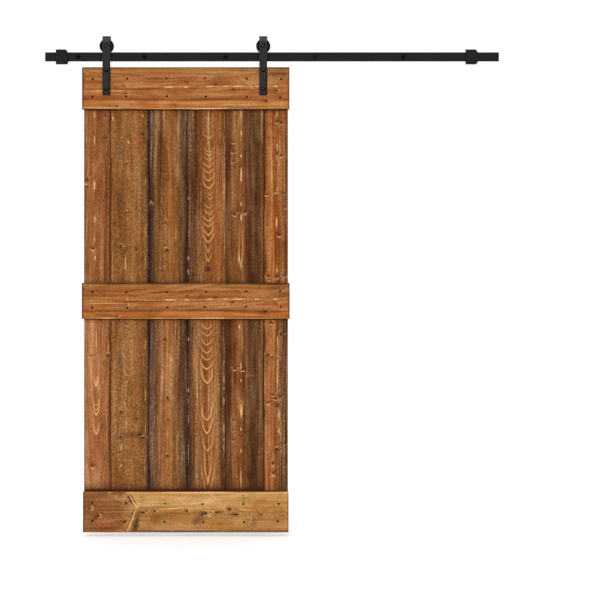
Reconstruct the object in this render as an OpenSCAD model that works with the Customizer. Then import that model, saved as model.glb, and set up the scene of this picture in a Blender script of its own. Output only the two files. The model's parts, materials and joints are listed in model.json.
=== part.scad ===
// Sliding barn door: a plank door hung on two hook hangers that roll along a wall-mounted flat track.
//
// Frame, in millimetres: +X to the right seen from the front, -Y towards the front, +Z up.
// Origin: the wall plane, on the axis of the track's middle lag screw.

/* [Door] */
// Height of the door
door_h = 2060; // [1700:1:2500]
// Sideways place of the door's centre, measured from the middle lag screw
door_x = -176; // [-300:1:600]
// Cover width of a full plank
plank_w = 170; // [130:1:200]
// Cover width of the ripped plank at the left edge
left_plank_w = 118; // [90:1:150]
// Cover width of the ripped plank at the right edge
right_plank_w = 106; // [90:1:150]
// Thickness of the planks
plank_t = 19; // [16:0.5:25]
// Width of the bevel along each long front edge of a plank
plank_bevel = 3; // [1:0.5:4]
// Gap left between the faces of two planks
plank_gap = 0.6; // [0.2:0.1:1.5]
// Width of a tongue
tongue_w = 8; // [5:0.5:10]
// Thickness of a tongue
tongue_t = 6; // [4:0.5:7]
// Play around a tongue in its groove
tongue_play = 0.3; // [0.1:0.1:0.6]

/* [Battens] */
// Thickness of the three battens
batten_t = 16; // [12:0.5:22]
// Height of the top batten
top_batten_h = 187; // [160:1:230]
// Height of the middle batten
middle_batten_h = 160; // [120:1:220]
// Height of the bottom batten
bottom_batten_h = 180; // [140:1:230]
// How far the middle batten's centre lies below the middle of the door
middle_batten_drop = 5; // [-200:1:200]
// How far the top, middle and bottom battens stand out past the planks at each end
batten_overhang = [7, 8, 3]; // [0:1:12]
// Bevel along the front edges of the battens
batten_bevel = 2; // [1:0.5:4]

/* [Batten screws] */
// Distance between the two rows of screws in the top, middle and bottom battens
screw_row_pitch = [80, 68, 79]; // [40:1:100]
// How far the rows are raised from each batten's centre line
screw_row_lift = [2, 6, -2]; // [-10:1:15]
// How far the bottom batten's columns of screws stand to the right of the ones above them
bottom_column_move = [-2, -6, -9, -11, -13, -11]; // [-20:1:20]
// Diameter of a screw's head
screw_head_d = 9; // [7:0.1:10]
// Diameter of a screw's shank
screw_d = 4; // [3:0.1:5]
// Length of a screw
screw_l = 30; // [25:1:32]
// How deep the heads are sunk below the batten's face
screw_sink = 0.8; // [0:0.1:2]
// Play between a fastener and its hole in wood
hole_play = 0.1; // [0.05:0.05:0.5]

/* [Track] */
// Length of the track
track_l = 2012; // [1800:1:3000]
// Height of the track bar
track_h = 40; // [35:1:50]
// Thickness of the track bar
track_t = 6; // [5:0.5:8]
// From the middle lag screw to the track's left end
track_left = 800; // [720:1:1200]
// Distances from each lag screw to the next, from left to right
lag_gaps = [293, 360, 395, 392]; // [150:1:500]
// Length of the standoff sleeves, from the wall to the track
standoff_l = 36; // [30:1:60]
// Diameter of the standoff sleeves
standoff_d = 22; // [18:1:26]
// Major diameter of the lag screws' thread
lag_d = 8; // [6:0.5:10]
// Diameter of the lag screws' plain shank
lag_shank_d = 7.4; // [5.5:0.1:9.5]
// Length of full thread that stands out past the wall plane
lag_grip = 40; // [30:1:80]
// Diameter of the lag screws' heads
lag_head_d = 15; // [12:0.5:18]
// Diameter of the lag washers
lag_washer_d = 19; // [16:0.5:24]

/* [End stops] */
// Width of an end stop along the track
stop_w = 53; // [40:1:70]
// Height of an end stop
stop_h = 64; // [56:1:80]
// Wall of an end stop in front of the track
stop_front = 7; // [5:0.5:8]
// Wall of an end stop behind the track, which holds the set screws
stop_back = 9; // [7:0.5:14]
// Distance of the left stop's centre from the track's left end
left_stop_in = 75; // [35:1:140]
// Distance of the right stop's centre from the track's right end
right_stop_in = 121; // [35:1:160]
// Width and height of the upper cut corner
stop_top_cut = [9, 12]; // [4:1:16]
// Width and height of the lower cut corner
stop_bottom_cut = [6, 7]; // [4:1:16]

/* [Hangers] */
// Distance between the two hangers
hanger_pitch = 694; // [500:1:780]
// How far the middle of the two hangers lies from the door's middle
hanger_shift = -4; // [-40:1:40]
// Width of a hanger strap
strap_w = 35; // [30:1:50]
// Thickness of a hanger strap
strap_t = 5; // [4:0.5:6]
// Clear width inside the hook
hook_gap = 25; // [22.5:0.5:30]
// Height left free between the wheel and the inside of the hook
hook_room = 7.5; // [5:0.5:20]
// How far the hook's short leg reaches below the axle
short_leg = 16; // [13:1:20]
// Gap between the top of the door and the bottom of the track
head_room = 27; // [16:1:60]
// How far the strap reaches down the door
strap_on_door = 124; // [110:1:170]
// From the top of the door to the upper bolt
bolt_down = 14; // [12:1:30]
// Distance between the two bolts of a hanger
bolt_pitch = 84; // [60:1:100]
// Diameter of the hanger bolts
bolt_d = 8; // [6:0.5:10]
// Diameter of the hanger bolts' domed heads
bolt_head_d = 17; // [14:0.5:20]
// Height of the hanger bolts' domed heads
bolt_head_h = 4.5; // [3:0.5:6]
// Diameter of the barrel nuts' flanges on the back of the door
barrel_flange_d = 22; // [18:1:28]

/* [Wheels] */
// Diameter of the tread that rolls on the track
tread_d = 55; // [45:0.5:72]
// Height of the wheel's flanges over its tread
flange_h = 4; // [3:0.5:6]
// Width of the wheel
wheel_w = 20; // [18:0.5:22]
// Play between the track and each flange
groove_play = 1; // [0.5:0.1:2]
// Gap between the tread and the top of the track
tread_gap = 0.2; // [0.1:0.1:0.5]
// Diameter of the axle
axle_d = 10; // [8:0.5:12]
// Diameter of the axle's domed head
axle_head_d = 17; // [14:0.5:22]
// Outer diameter of the bearing
bearing_d = 26; // [24:0.5:32]
// Width of the bearing
bearing_w = 8; // [7:0.5:10]
// Number of balls in a bearing
ball_count = 7; // [6:1:9]

/* [Hidden] */
$fn = 64;
e = 0.01; // overlap of a cut past the face it opens

SIDES = ["left", "right"];
BATTENS = ["top", "middle", "bottom"];
PLANKS = 6;
LAGS = 5;

// Depths, from the wall forwards
track_y = -(standoff_l + track_t / 2);
track_front_y = track_y - track_t / 2;
door_front_y = track_y - hook_gap / 2;
plank_front_y = door_front_y + batten_t;
plank_back_y = plank_front_y + plank_t;
strap_front_y = door_front_y - strap_t;

// Heights, from the track's centre line
wheel_d = tread_d + 2 * flange_h;
axle_z = track_h / 2 + tread_gap + tread_d / 2;
hook_z = axle_z + wheel_d / 2 + hook_room - hook_gap / 2;
door_top_z = -track_h / 2 - head_room;
door_foot_z = door_top_z - door_h;
batten_hs = [top_batten_h, middle_batten_h, bottom_batten_h];
batten_zs = [
    door_top_z - top_batten_h / 2,
    (door_top_z + door_foot_z) / 2 - middle_batten_drop,
    door_foot_z + bottom_batten_h / 2
];

// Planks, from the door's left edge to its right edge
plank_ws = [left_plank_w, plank_w, plank_w, plank_w, plank_w, right_plank_w];
function sum_to(list, n) = n <= 0 ? 0 : list[n - 1] + sum_to(list, n - 1);
door_w = sum_to(plank_ws, PLANKS);
function joint_x(i) = door_x - door_w / 2 + sum_to(plank_ws, i);
groove_room = 1; // room left at the bottom of a groove
groove_w = tongue_w + groove_room;
edge_round = 1.5; // bevel on the door's two outer edges
back_bevel = 1;   // bevel on the back edges of the planks

// Batten screws: one column to a plank, each a little off the plank's centre
column_offset = [-20, -12, -4, -4, 8, 21];
function column_x(i) = (joint_x(i) + joint_x(i + 1)) / 2 + column_offset[i];
screw_wander = 2.5; // how far a screw strays from its row and column
function wander(n) = screw_wander * sin(137 * n);
function screw_at(b, i, row) = [
    column_x(i) + (b == 2 ? bottom_column_move[i] : 0) + wander(12 * b + 2 * i + row),
    batten_zs[b] + screw_row_lift[b] + (row - 0.5) * screw_row_pitch[b] + wander(7 * b + 3 * i + 5 * row)
];
screw_cone = (screw_head_d - screw_d) / 2;
screw_recess_w = 1.1;
screw_recess_l = 4.4;
screw_recess_deep = 1.6;
screw_rim = 0.5;
screw_point = 5;
screw_end_room = 0.5;

// Track fixings
function lag_x(i) = sum_to(lag_gaps, i) - sum_to(lag_gaps, 2);
lag_head_h = 4.2;
lag_washer_t = 1.5;
lag_point = 6;
lag_play = 0.3;
lag_socket = 6;
lag_socket_deep = 2.7;
lag_hole_d = lag_d + 2 * lag_play;

// End stops
stop_play = 0.2;
set_screw_d = 6;
set_screw_z = track_h / 4;
set_screw_inset = 1;
set_screw_socket = 3;
set_screw_socket_deep = 3;
track_right = track_l - track_left;
stop_xs = [-track_left + left_stop_in, track_right - right_stop_in];

// Hangers
hanger_xs = [for (s = [-1, 1]) door_x + hanger_shift + s * hanger_pitch / 2];
strap_foot_z = door_top_z - strap_on_door;
bolt_zs = [door_top_z - bolt_down, door_top_z - bolt_down - bolt_pitch];
bolt_play = 0.3;
barrel_wall = 2;
barrel_d = bolt_d + 2 * barrel_wall;
barrel_flange_t = 2.5;
barrel_l = plank_t - 2;
barrel_socket = 5;
barrel_socket_deep = 2;
barrel_bore_end = 1; // from the end of a nut's thread to the door's back
bolt_end = 2;        // from the end of a bolt to the door's back
strap_corner = 2;

// Axle, bushes and bearing
axle_head_h = 5;
axle_nut_af = 16;
axle_nut_h = 8;
axle_end = 1.5;
bush_wall = 2;
bush_d = axle_d + 2 * bush_wall;
bush_l = (hook_gap - bearing_w) / 2;
ring_gap = 2.8;                                     // radial room between the two rings
ring_t = ((bearing_d - axle_d) / 2 - ring_gap) / 2; // radial thickness of each ring
pitch_r = (bearing_d + axle_d) / 4;
ball_play = 0.1;
ball_seat = 0.45;  // how far a ball sinks into each ring, as a share of the ring's thickness
ball_d = ring_gap + 2 * ring_t * ball_seat;
cage_t = 1.2;
shield_t = 0.4;
shield_play = 0.3;
shield_inset = 0.3;
cage_w = bearing_w - 2 * (shield_inset + shield_t + shield_play);
circlip_t = 1.2;
circlip_depth = 1;
circlip_lip = 1.6;
circlip_play = 0.05;
circlip_mouth = 60; // opening of the circlip, in degrees
wheel_shoulder = 1.5;
wheel_bevel = 1.5;
flange_slope = 0.35; // how much a flange thickens towards the tread, as a share of its height

// A cylinder lying along Y, from its front at y0 back to y1
module rod_y(d, y0, y1) {
    translate([0, y0, 0]) rotate([-90, 0, 0]) cylinder(d = d, h = y1 - y0);
}

// A tube lying along Y
module tube_y(d_out, d_in, y0, y1) {
    difference() {
        rod_y(d_out, y0, y1);
        rod_y(d_in, y0 - e, y1 + e);
    }
}

// A hexagonal prism lying along Y, given its width across the flats
module hex_y(af, y0, y1) {
    translate([0, y0, 0]) rotate([-90, 0, 0]) cylinder(r = af / sqrt(3), h = y1 - y0, $fn = 6);
}

// A turned shape lying along Y: the profile's x is the radius and its y runs towards the wall
module turned_y() {
    rotate([-90, 0, 0]) rotate_extrude() children();
}

// Half the section of a domed head, from its seat at 0 forwards to -h
module dome_section(d, h) {
    rise = h * 0.75;
    ball_r = (pow(d / 2, 2) + rise * rise) / (2 * rise);
    intersection() {
        translate([0, -h]) square([d / 2, h]);
        translate([0, ball_r - h]) circle(r = ball_r);
    }
}

// ---------------------------------------------------------------- track

module track() {
    color("#2a2a2a") difference() {
        translate([-track_left, track_front_y, -track_h / 2]) cube([track_l, track_t, track_h]);
        for (i = [0:LAGS - 1])
            translate([lag_x(i), 0, 0]) rod_y(lag_hole_d, track_front_y - 1, track_y + track_t);
    }
}

module standoff(i) {
    color("#2a2a2a") translate([lag_x(i), 0, 0]) tube_y(standoff_d, lag_hole_d, -standoff_l, 0);
}

module lag_screw() {
    head_y = track_front_y - lag_washer_t;
    difference() {
        union() {
            translate([0, head_y, 0]) turned_y() dome_section(lag_head_d, lag_head_h);
            rod_y(lag_shank_d, head_y - e, 0);
            turned_y() polygon([[0, 0], [lag_d / 2, 0], [lag_d / 2, lag_grip], [0, lag_grip + lag_point]]);
        }
        hex_y(lag_socket, head_y - lag_head_h - 1, head_y - lag_head_h + lag_socket_deep);
    }
}

module lag_screws() {
    color("#262626") for (i = [0:LAGS - 1]) translate([lag_x(i), 0, 0]) lag_screw();
}

module lag_washers() {
    color("#262626") for (i = [0:LAGS - 1])
        translate([lag_x(i), 0, 0])
            tube_y(lag_washer_d, lag_hole_d, track_front_y - lag_washer_t, track_front_y);
}

// ---------------------------------------------------------------- end stops

// Front view of an end stop, with its two cut corners on the right
module stop_outline() {
    r = stop_w / 2;
    t = stop_h / 2;
    polygon([
        [-r, -t], [r - stop_bottom_cut[0], -t], [r, -t + stop_bottom_cut[1]],
        [r, t - stop_top_cut[1]], [r - stop_top_cut[0], t], [-r, t]
    ]);
}

module end_stop(n) {
    front_y = track_front_y - stop_play - stop_front;
    back_y = track_y + track_t / 2 + stop_play + stop_back;
    slot_t = track_t + 2 * stop_play;
    slot_h = track_h + 2 * stop_play;
    color("#242424") translate([stop_xs[n], 0, 0]) difference() {
        translate([0, back_y, 0]) rotate([90, 0, 0]) linear_extrude(height = back_y - front_y) stop_outline();
        translate([-stop_w, track_y - slot_t / 2, -slot_h / 2]) cube([2 * stop_w, slot_t, slot_h]);
        for (s = [-1, 1])
            translate([0, 0, s * set_screw_z]) rod_y(set_screw_d + 2 * hole_play, track_y, back_y + 1);
    }
}

module stop_set_screws(n) {
    tip_y = track_y + track_t / 2;
    end_y = tip_y + stop_play + stop_back - set_screw_inset;
    color("#5a5a5a") for (s = [-1, 1])
        translate([stop_xs[n], 0, s * set_screw_z]) difference() {
            rod_y(set_screw_d, tip_y, end_y);
            hex_y(set_screw_socket, end_y - set_screw_socket_deep, end_y + 1);
        }
}

// ---------------------------------------------------------------- door

// Section of a plank, seen from above: x0 and x1 are its joints, front at 0 and back at plank_t
module plank_section(x0, x1, grooved, tongued) {
    half = plank_gap / 2;
    a = x0 + (grooved ? half : 0);
    b = x1 - (tongued ? half : 0);
    ca = grooved ? plank_bevel : edge_round;
    cb = tongued ? plank_bevel : edge_round;
    t0 = (plank_t - tongue_t) / 2;
    t1 = (plank_t + tongue_t) / 2;
    difference() {
        union() {
            polygon([
                [a + ca, 0], [b - cb, 0], [b, cb], [b, plank_t - back_bevel], [b - back_bevel, plank_t],
                [a + back_bevel, plank_t], [a, plank_t - back_bevel], [a, ca]
            ]);
            if (tongued) translate([b - 1, t0]) square([tongue_w + half + 1, t1 - t0]);
        }
        if (grooved)
            translate([a - 1, t0 - tongue_play])
                square([groove_w + 1, t1 - t0 + 2 * tongue_play]);
    }
}

module plank(i) {
    color("#8a5a2e") difference() {
        translate([0, plank_front_y, door_foot_z])
            linear_extrude(height = door_h)
                plank_section(joint_x(i), joint_x(i + 1), i > 0, i < PLANKS - 1);
        for (b = [0:2], row = [0, 1]) {
            p = screw_at(b, i, row);
            translate([p[0], 0, p[1]]) screw_hole();
        }
        for (h = hanger_xs, z = bolt_zs)
            if (h + barrel_d > joint_x(i) - tongue_w && h - barrel_d < joint_x(i + 1) + tongue_w)
                translate([h, 0, z]) bolt_hole();
    }
}

// The hole for a hanger's bolt through the batten, widened in the planks for the barrel nut
module bolt_hole() {
    rod_y(bolt_d + 2 * bolt_play, door_front_y - 1, plank_back_y + 1);
    rod_y(barrel_d + 2 * hole_play, plank_back_y - barrel_l - hole_play, plank_back_y + 1);
}

// The countersunk hole for a batten screw
module screw_hole() {
    face = screw_head_d / 2 + hole_play;
    core = screw_d / 2 + hole_play;
    translate([0, door_front_y, 0]) turned_y() polygon([
        [0, -1], [face, -1], [face, screw_sink + screw_rim], [core, screw_sink + screw_rim + screw_cone],
        [core, screw_sink + screw_l + screw_end_room], [0, screw_sink + screw_l + screw_end_room]
    ]);
}

module batten_screw() {
    translate([0, door_front_y + screw_sink, 0]) difference() {
        turned_y() polygon([
            [0, 0], [screw_head_d / 2, 0], [screw_head_d / 2, screw_rim],
            [screw_d / 2, screw_rim + screw_cone], [screw_d / 2, screw_l - screw_point], [0, screw_l]
        ]);
        for (turn = [0, 90])
            rotate([0, turn, 0]) translate([-screw_recess_l / 2, -1, -screw_recess_w / 2])
                cube([screw_recess_l, 1 + screw_recess_deep, screw_recess_w]);
    }
}

module batten(b) {
    half_w = door_w / 2 + batten_overhang[b];
    h = batten_hs[b];
    color("#a3692f") difference() {
        translate([door_x - half_w, door_front_y, batten_zs[b]])
            rotate([90, 0, 90]) linear_extrude(height = 2 * half_w) polygon([
                [0, -h / 2 + batten_bevel], [batten_bevel, -h / 2], [batten_t, -h / 2],
                [batten_t, h / 2], [batten_bevel, h / 2], [0, h / 2 - batten_bevel]
            ]);
        for (i = [0:PLANKS - 1], row = [0, 1]) {
            p = screw_at(b, i, row);
            translate([p[0], 0, p[1]]) screw_hole();
        }
        if (b == 0) for (x = hanger_xs, z = bolt_zs) translate([x, 0, z]) bolt_hole();
    }
}

module batten_screws(b) {
    color("#1d1512") for (i = [0:PLANKS - 1], row = [0, 1]) {
        p = screw_at(b, i, row);
        translate([p[0], 0, p[1]]) batten_screw();
    }
}

// ---------------------------------------------------------------- hangers

// Side view of a strap: a long front leg, a round hook over the wheel and a short rear leg
module strap_section() {
    inner = hook_gap / 2;
    outer = inner + strap_t;
    foot = axle_z - short_leg;
    translate([-outer, strap_foot_z]) square([strap_t, hook_z - strap_foot_z]);
    translate([inner, foot]) square([strap_t, hook_z - foot]);
    translate([0, hook_z]) difference() {
        circle(r = outer);
        circle(r = inner);
        translate([-outer - 1, -outer - 1]) square([2 * outer + 2, outer + 1]);
    }
}

// Front view of a strap with its corners rounded
module strap_outline() {
    foot = strap_foot_z;
    top = hook_z + hook_gap;
    w = strap_w / 2;
    r = strap_corner;
    translate([-w, foot + r]) square([strap_w, top - foot - r]);
    translate([-w + r, foot]) square([strap_w - 2 * r, r]);
    for (s = [-1, 1]) translate([s * (w - r), foot + r]) circle(r = r);
}

module hanger_strap(n) {
    color("#303030") translate([hanger_xs[n], 0, 0]) difference() {
        intersection() {
            translate([-strap_w / 2, track_y, 0])
                rotate([90, 0, 90]) linear_extrude(height = strap_w) strap_section();
            rotate([90, 0, 0]) translate([0, 0, -strap_front_y - 100])
                linear_extrude(height = 200) strap_outline();
        }
        translate([0, 0, axle_z]) rod_y(axle_d + 2 * bolt_play, strap_front_y - 1, track_y + hook_gap);
        for (z = bolt_zs)
            translate([0, 0, z]) rod_y(bolt_d + 2 * bolt_play, strap_front_y - 1, door_front_y + 1);
    }
}

module hanger_bolts(n) {
    color("#262626") for (z = bolt_zs) translate([hanger_xs[n], 0, z]) {
        translate([0, strap_front_y, 0]) turned_y() dome_section(bolt_head_d, bolt_head_h);
        rod_y(bolt_d, strap_front_y - e, plank_back_y - bolt_end);
    }
}

module barrel_nuts(n) {
    color("#3a3a3a") for (z = bolt_zs) translate([hanger_xs[n], 0, z]) difference() {
        union() {
            rod_y(barrel_d, plank_back_y - barrel_l, plank_back_y + e);
            rod_y(barrel_flange_d, plank_back_y, plank_back_y + barrel_flange_t);
        }
        rod_y(bolt_d + 2 * hole_play, plank_back_y - barrel_l - 1, plank_back_y - barrel_bore_end);
        translate([0, plank_back_y + barrel_flange_t, 0]) hex_y(barrel_socket, -barrel_socket_deep, 1);
    }
}

// ---------------------------------------------------------------- axle and bearing

module at_axle(n) {
    translate([hanger_xs[n], track_y, axle_z]) children();
}

module axle_bolt(n) {
    seat_y = -hook_gap / 2 - strap_t;
    end_y = hook_gap / 2 + strap_t + axle_nut_h + axle_end;
    color("#262626") at_axle(n) {
        translate([0, seat_y, 0]) turned_y() dome_section(axle_head_d, axle_head_h);
        rod_y(axle_d, seat_y - e, end_y);
    }
}

module axle_nut(n) {
    seat_y = hook_gap / 2 + strap_t;
    color("#4a4a4a") at_axle(n) difference() {
        hex_y(axle_nut_af, seat_y, seat_y + axle_nut_h);
        rod_y(axle_d, seat_y - 1, seat_y + axle_nut_h + 1);
    }
}

// Two bushes that hold the bearing's inner ring midway between the strap's legs
module axle_bushes(n) {
    color("#8c8c8c") at_axle(n) {
        tube_y(bush_d, axle_d, -hook_gap / 2, -bearing_w / 2);
        tube_y(bush_d, axle_d, bearing_w / 2, bearing_w / 2 + bush_l);
    }
}

// The path of the balls, widened by their play
module ball_track() {
    turned_y() translate([pitch_r, 0]) circle(d = ball_d + 2 * ball_play);
}

module bearing_outer_ring(n) {
    color("#b8b8b8") at_axle(n) difference() {
        tube_y(bearing_d, bearing_d - 2 * ring_t, -bearing_w / 2, bearing_w / 2);
        ball_track();
    }
}

module bearing_inner_ring(n) {
    color("#b8b8b8") at_axle(n) difference() {
        tube_y(axle_d + 2 * ring_t, axle_d, -bearing_w / 2, bearing_w / 2);
        ball_track();
    }
}

module each_ball() {
    for (k = [0:ball_count - 1])
        rotate([0, k * 360 / ball_count, 0]) translate([pitch_r, 0, 0]) children();
}

module bearing_balls(n) {
    color("#d0d0d0") at_axle(n) each_ball() sphere(d = ball_d);
}

module bearing_cage(n) {
    color("#b08a3c") at_axle(n) difference() {
        tube_y(2 * pitch_r + cage_t, 2 * pitch_r - cage_t, -cage_w / 2, cage_w / 2);
        each_ball() rotate([0, 90, 0]) cylinder(d = ball_d + 2 * ball_play, h = 4 * cage_t, center = true);
    }
}

// Two thin plates that close the bearing; they sit in the outer ring and clear the inner one
module bearing_shields(n) {
    d_out = bearing_d - 2 * ring_t;
    d_in = axle_d + 2 * ring_t + 2 * shield_play;
    y1 = bearing_w / 2 - shield_inset;
    color("#9a9a9a") at_axle(n) {
        tube_y(d_out, d_in, -y1, -y1 + shield_t);
        tube_y(d_out, d_in, y1 - shield_t, y1);
    }
}

// Half section of the wheel: a grooved rim on a hub that is open at the front and shouldered behind
module wheel_section() {
    groove = track_t + 2 * groove_play;
    r_in = bearing_d / 2;
    r_out = wheel_d / 2;
    slope = flange_h * flange_slope;
    difference() {
        polygon([
            [r_in, -wheel_w / 2], [r_out - wheel_bevel, -wheel_w / 2], [r_out, -wheel_w / 2 + wheel_bevel],
            [r_out, -groove / 2 - slope], [tread_d / 2, -groove / 2],
            [tread_d / 2, groove / 2], [r_out, groove / 2 + slope],
            [r_out, wheel_w / 2 - wheel_bevel], [r_out - wheel_bevel, wheel_w / 2],
            [r_in - wheel_shoulder, wheel_w / 2], [r_in - wheel_shoulder, bearing_w / 2],
            [r_in, bearing_w / 2]
        ]);
        translate([r_in - e, -bearing_w / 2 - circlip_t]) square([circlip_depth + e, circlip_t]);
    }
}

module wheel(n) {
    color("#2c2c2c") at_axle(n) turned_y() wheel_section();
}

// The snap ring that keeps the bearing in the wheel, in a groove just in front of it
module wheel_circlip(n) {
    y0 = -bearing_w / 2 - circlip_t;
    y1 = -bearing_w / 2;
    d_out = bearing_d + 2 * (circlip_depth - circlip_play);
    d_in = bearing_d - 2 * circlip_lip;
    reach = bearing_d;
    half_mouth = reach * tan(circlip_mouth / 2);
    color("#6a6a6a") at_axle(n) difference() {
        tube_y(d_out, d_in, y0 + circlip_play, y1);
        translate([0, y1 + 1, 0]) rotate([90, 0, 0]) linear_extrude(height = circlip_t + 2)
            polygon([[0, 0], [-half_mouth, -reach], [half_mouth, -reach]]);
    }
}

// ---------------------------------------------------------------- nodes

track();
lag_screws();
lag_washers();
for (i = [0:LAGS - 1])
    standoff(i);
for (i = [0:PLANKS - 1])
    plank(i);
for (b = [0:2]) {
    batten(b);
    batten_screws(b);
}
for (n = [0, 1]) {
    end_stop(n);
    stop_set_screws(n);
    hanger_strap(n);
    hanger_bolts(n);
    barrel_nuts(n);
    axle_bolt(n);
    axle_nut(n);
    axle_bushes(n);
    wheel(n);
    wheel_circlip(n);
    bearing_outer_ring(n);
    bearing_inner_ring(n);
    bearing_balls(n);
    bearing_cage(n);
    bearing_shields(n);
}
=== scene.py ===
import json
import math

import bmesh
import bpy
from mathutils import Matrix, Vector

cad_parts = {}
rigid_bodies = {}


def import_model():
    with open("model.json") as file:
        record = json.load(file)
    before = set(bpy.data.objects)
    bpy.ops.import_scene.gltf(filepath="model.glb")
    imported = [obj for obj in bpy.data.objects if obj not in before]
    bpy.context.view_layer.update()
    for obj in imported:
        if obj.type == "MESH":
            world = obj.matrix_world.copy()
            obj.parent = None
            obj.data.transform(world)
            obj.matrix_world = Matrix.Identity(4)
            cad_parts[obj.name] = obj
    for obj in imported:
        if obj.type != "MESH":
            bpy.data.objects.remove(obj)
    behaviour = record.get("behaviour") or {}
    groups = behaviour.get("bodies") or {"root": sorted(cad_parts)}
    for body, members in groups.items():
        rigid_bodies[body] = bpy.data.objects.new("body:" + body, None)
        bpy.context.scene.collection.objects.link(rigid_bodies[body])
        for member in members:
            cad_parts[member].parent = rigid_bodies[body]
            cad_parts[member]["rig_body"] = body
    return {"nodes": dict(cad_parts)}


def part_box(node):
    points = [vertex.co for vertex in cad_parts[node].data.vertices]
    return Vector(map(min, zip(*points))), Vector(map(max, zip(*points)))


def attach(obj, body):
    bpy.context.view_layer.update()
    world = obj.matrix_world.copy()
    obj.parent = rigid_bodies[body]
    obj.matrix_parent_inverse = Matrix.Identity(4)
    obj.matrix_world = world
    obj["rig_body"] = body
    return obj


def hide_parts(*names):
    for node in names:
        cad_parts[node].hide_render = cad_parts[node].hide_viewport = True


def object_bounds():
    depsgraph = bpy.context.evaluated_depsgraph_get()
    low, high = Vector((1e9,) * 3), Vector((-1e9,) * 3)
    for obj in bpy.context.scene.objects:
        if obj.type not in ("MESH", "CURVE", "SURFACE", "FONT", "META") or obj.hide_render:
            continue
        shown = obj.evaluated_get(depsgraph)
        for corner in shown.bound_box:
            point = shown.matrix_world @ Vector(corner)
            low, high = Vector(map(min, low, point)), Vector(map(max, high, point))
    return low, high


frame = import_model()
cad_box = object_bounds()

MM = 0.001
SIDES = ("left", "right")

# ------------------------------------------------------------------ colours and node helpers


def shade(red, green, blue):
    """A colour named on the 0 to 255 scale of a paint card, as the linear colour a shader wants."""
    parts = [value / 255 for value in (red, green, blue)]
    linear = [p / 12.92 if p <= 0.04045 else ((p + 0.055) / 1.055) ** 2.4 for p in parts]
    return (*linear, 1.0)


def feed(tree, made, values):
    """Give each named input a value, or join it to another node's socket."""
    for key, value in values.items():
        if isinstance(value, bpy.types.NodeSocket):
            tree.links.new(value, made.inputs[key])
        else:
            made.inputs[key].default_value = value


def add(tree, kind, values=None, **settings):
    made = tree.nodes.new("ShaderNode" + kind)
    for name, value in settings.items():
        setattr(made, name, value)
    feed(tree, made, values or {})
    return made


def maths(tree, operation, *values, clamp=False):
    return add(tree, "Math", dict(enumerate(values)), operation=operation, use_clamp=clamp).outputs[0]


def fade(tree, value, start, stop, low=0.0, high=1.0):
    """Run smoothly from low to high as the value goes from start to stop."""
    made = add(tree, "MapRange", {0: value, 1: start, 2: stop, 3: low, 4: high})
    made.interpolation_type = "SMOOTHSTEP"
    return made.outputs[0]


def mixed(tree, amount, first, second, blend="MIX"):
    values = {0: amount, 6: first, 7: second}
    return add(tree, "Mix", values, data_type="RGBA", blend_type=blend).outputs[2]


def noise(tree, vector, detail=2.0, rough=0.5, scale=1.0):
    values = {"Vector": vector, "Scale": scale, "Detail": detail, "Roughness": rough}
    return add(tree, "TexNoise", values).outputs["Fac"]


def stretched(tree, x, y, z, scale_x, scale_y, scale_z):
    """A vector whose three parts are stretched by their own amounts."""
    parts = [maths(tree, "MULTIPLY", part, scale)
             for part, scale in ((x, scale_x), (y, scale_y), (z, scale_z))]
    return add(tree, "CombineXYZ", dict(enumerate(parts))).outputs[0]


def grained(tree, across, along, depth, per_across, per_along, detail, rough=0.5):
    """Noise that repeats so many times a metre across a board and along it."""
    place = stretched(tree, across, along, depth, per_across, per_along, per_across)
    return noise(tree, place, detail=detail, rough=rough)


def distance(tree, x, y):
    """How far a place is from a point, from its two offsets."""
    squares = maths(tree, "ADD", maths(tree, "MULTIPLY", x, x), maths(tree, "MULTIPLY", y, y))
    return maths(tree, "SQRT", squares)


# Sockets of the groups that hold something other than a plain number
SOCKET_KINDS = {"Colour": "Color", "Tint": "Color", "Between": "Color", "Dust": "Color", "Place": "Vector"}


def new_group(name, inputs, outputs):
    """An empty shader group: returns the group, what comes in and what goes out."""
    group = bpy.data.node_groups.new(name, "ShaderNodeTree")
    for labels, in_out in ((inputs, "INPUT"), (outputs, "OUTPUT")):
        for label in labels:
            kind = "NodeSocket" + SOCKET_KINDS.get(label, "Float")
            group.interface.new_socket(label, in_out=in_out, socket_type=kind)
    return group, group.nodes.new("NodeGroupInput").outputs, group.nodes.new("NodeGroupOutput")


def use(tree, group, values):
    made = tree.nodes.new("ShaderNodeGroup")
    made.node_tree = group
    feed(tree, made, values)
    return made.outputs


# ------------------------------------------------------------------ groups for the timber


SWAY = 30 * MM               # how far the fibres wander sideways
GROWTH_LINES = 74            # how closely growth lines follow one another


def grain_group():
    """Fibres, streaks, growth lines, slow tone, patches and speckle of a sawn pine board."""
    group, come, leave = new_group(
        "sawn pine grain",
        ["Across", "Along", "Depth"],
        ["Fibre", "Streak", "Growth", "Tone", "Speckle", "Patch", "Pores"],
    )
    straight = (come["Across"], come["Along"], come["Depth"])
    sway = grained(group, *straight, 9, 1.6, detail=1.0)
    swayed = (maths(group, "MULTIPLY_ADD", sway, SWAY, straight[0]), *straight[1:])
    year = grained(group, *swayed, 12, 1.0, detail=1.0, rough=0.35)
    ring = maths(group, "SINE", maths(group, "MULTIPLY", year, GROWTH_LINES))
    feed(group, leave, {
        "Fibre": grained(group, *swayed, 170, 3.2, detail=3.0, rough=0.62),
        "Streak": grained(group, *swayed, 62, 1.7, detail=2.0, rough=0.6),
        "Growth": maths(group, "MULTIPLY_ADD", ring, 0.5, 0.5),
        "Tone": grained(group, *straight, 13, 2.2, detail=2.0),
        "Speckle": grained(group, *straight, 190, 105, detail=2.0, rough=0.7),
        "Patch": grained(group, *straight, 24, 11, detail=2.0),
        "Pores": grained(group, *swayed, 900, 22, detail=1.0),
    })
    return group


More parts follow.
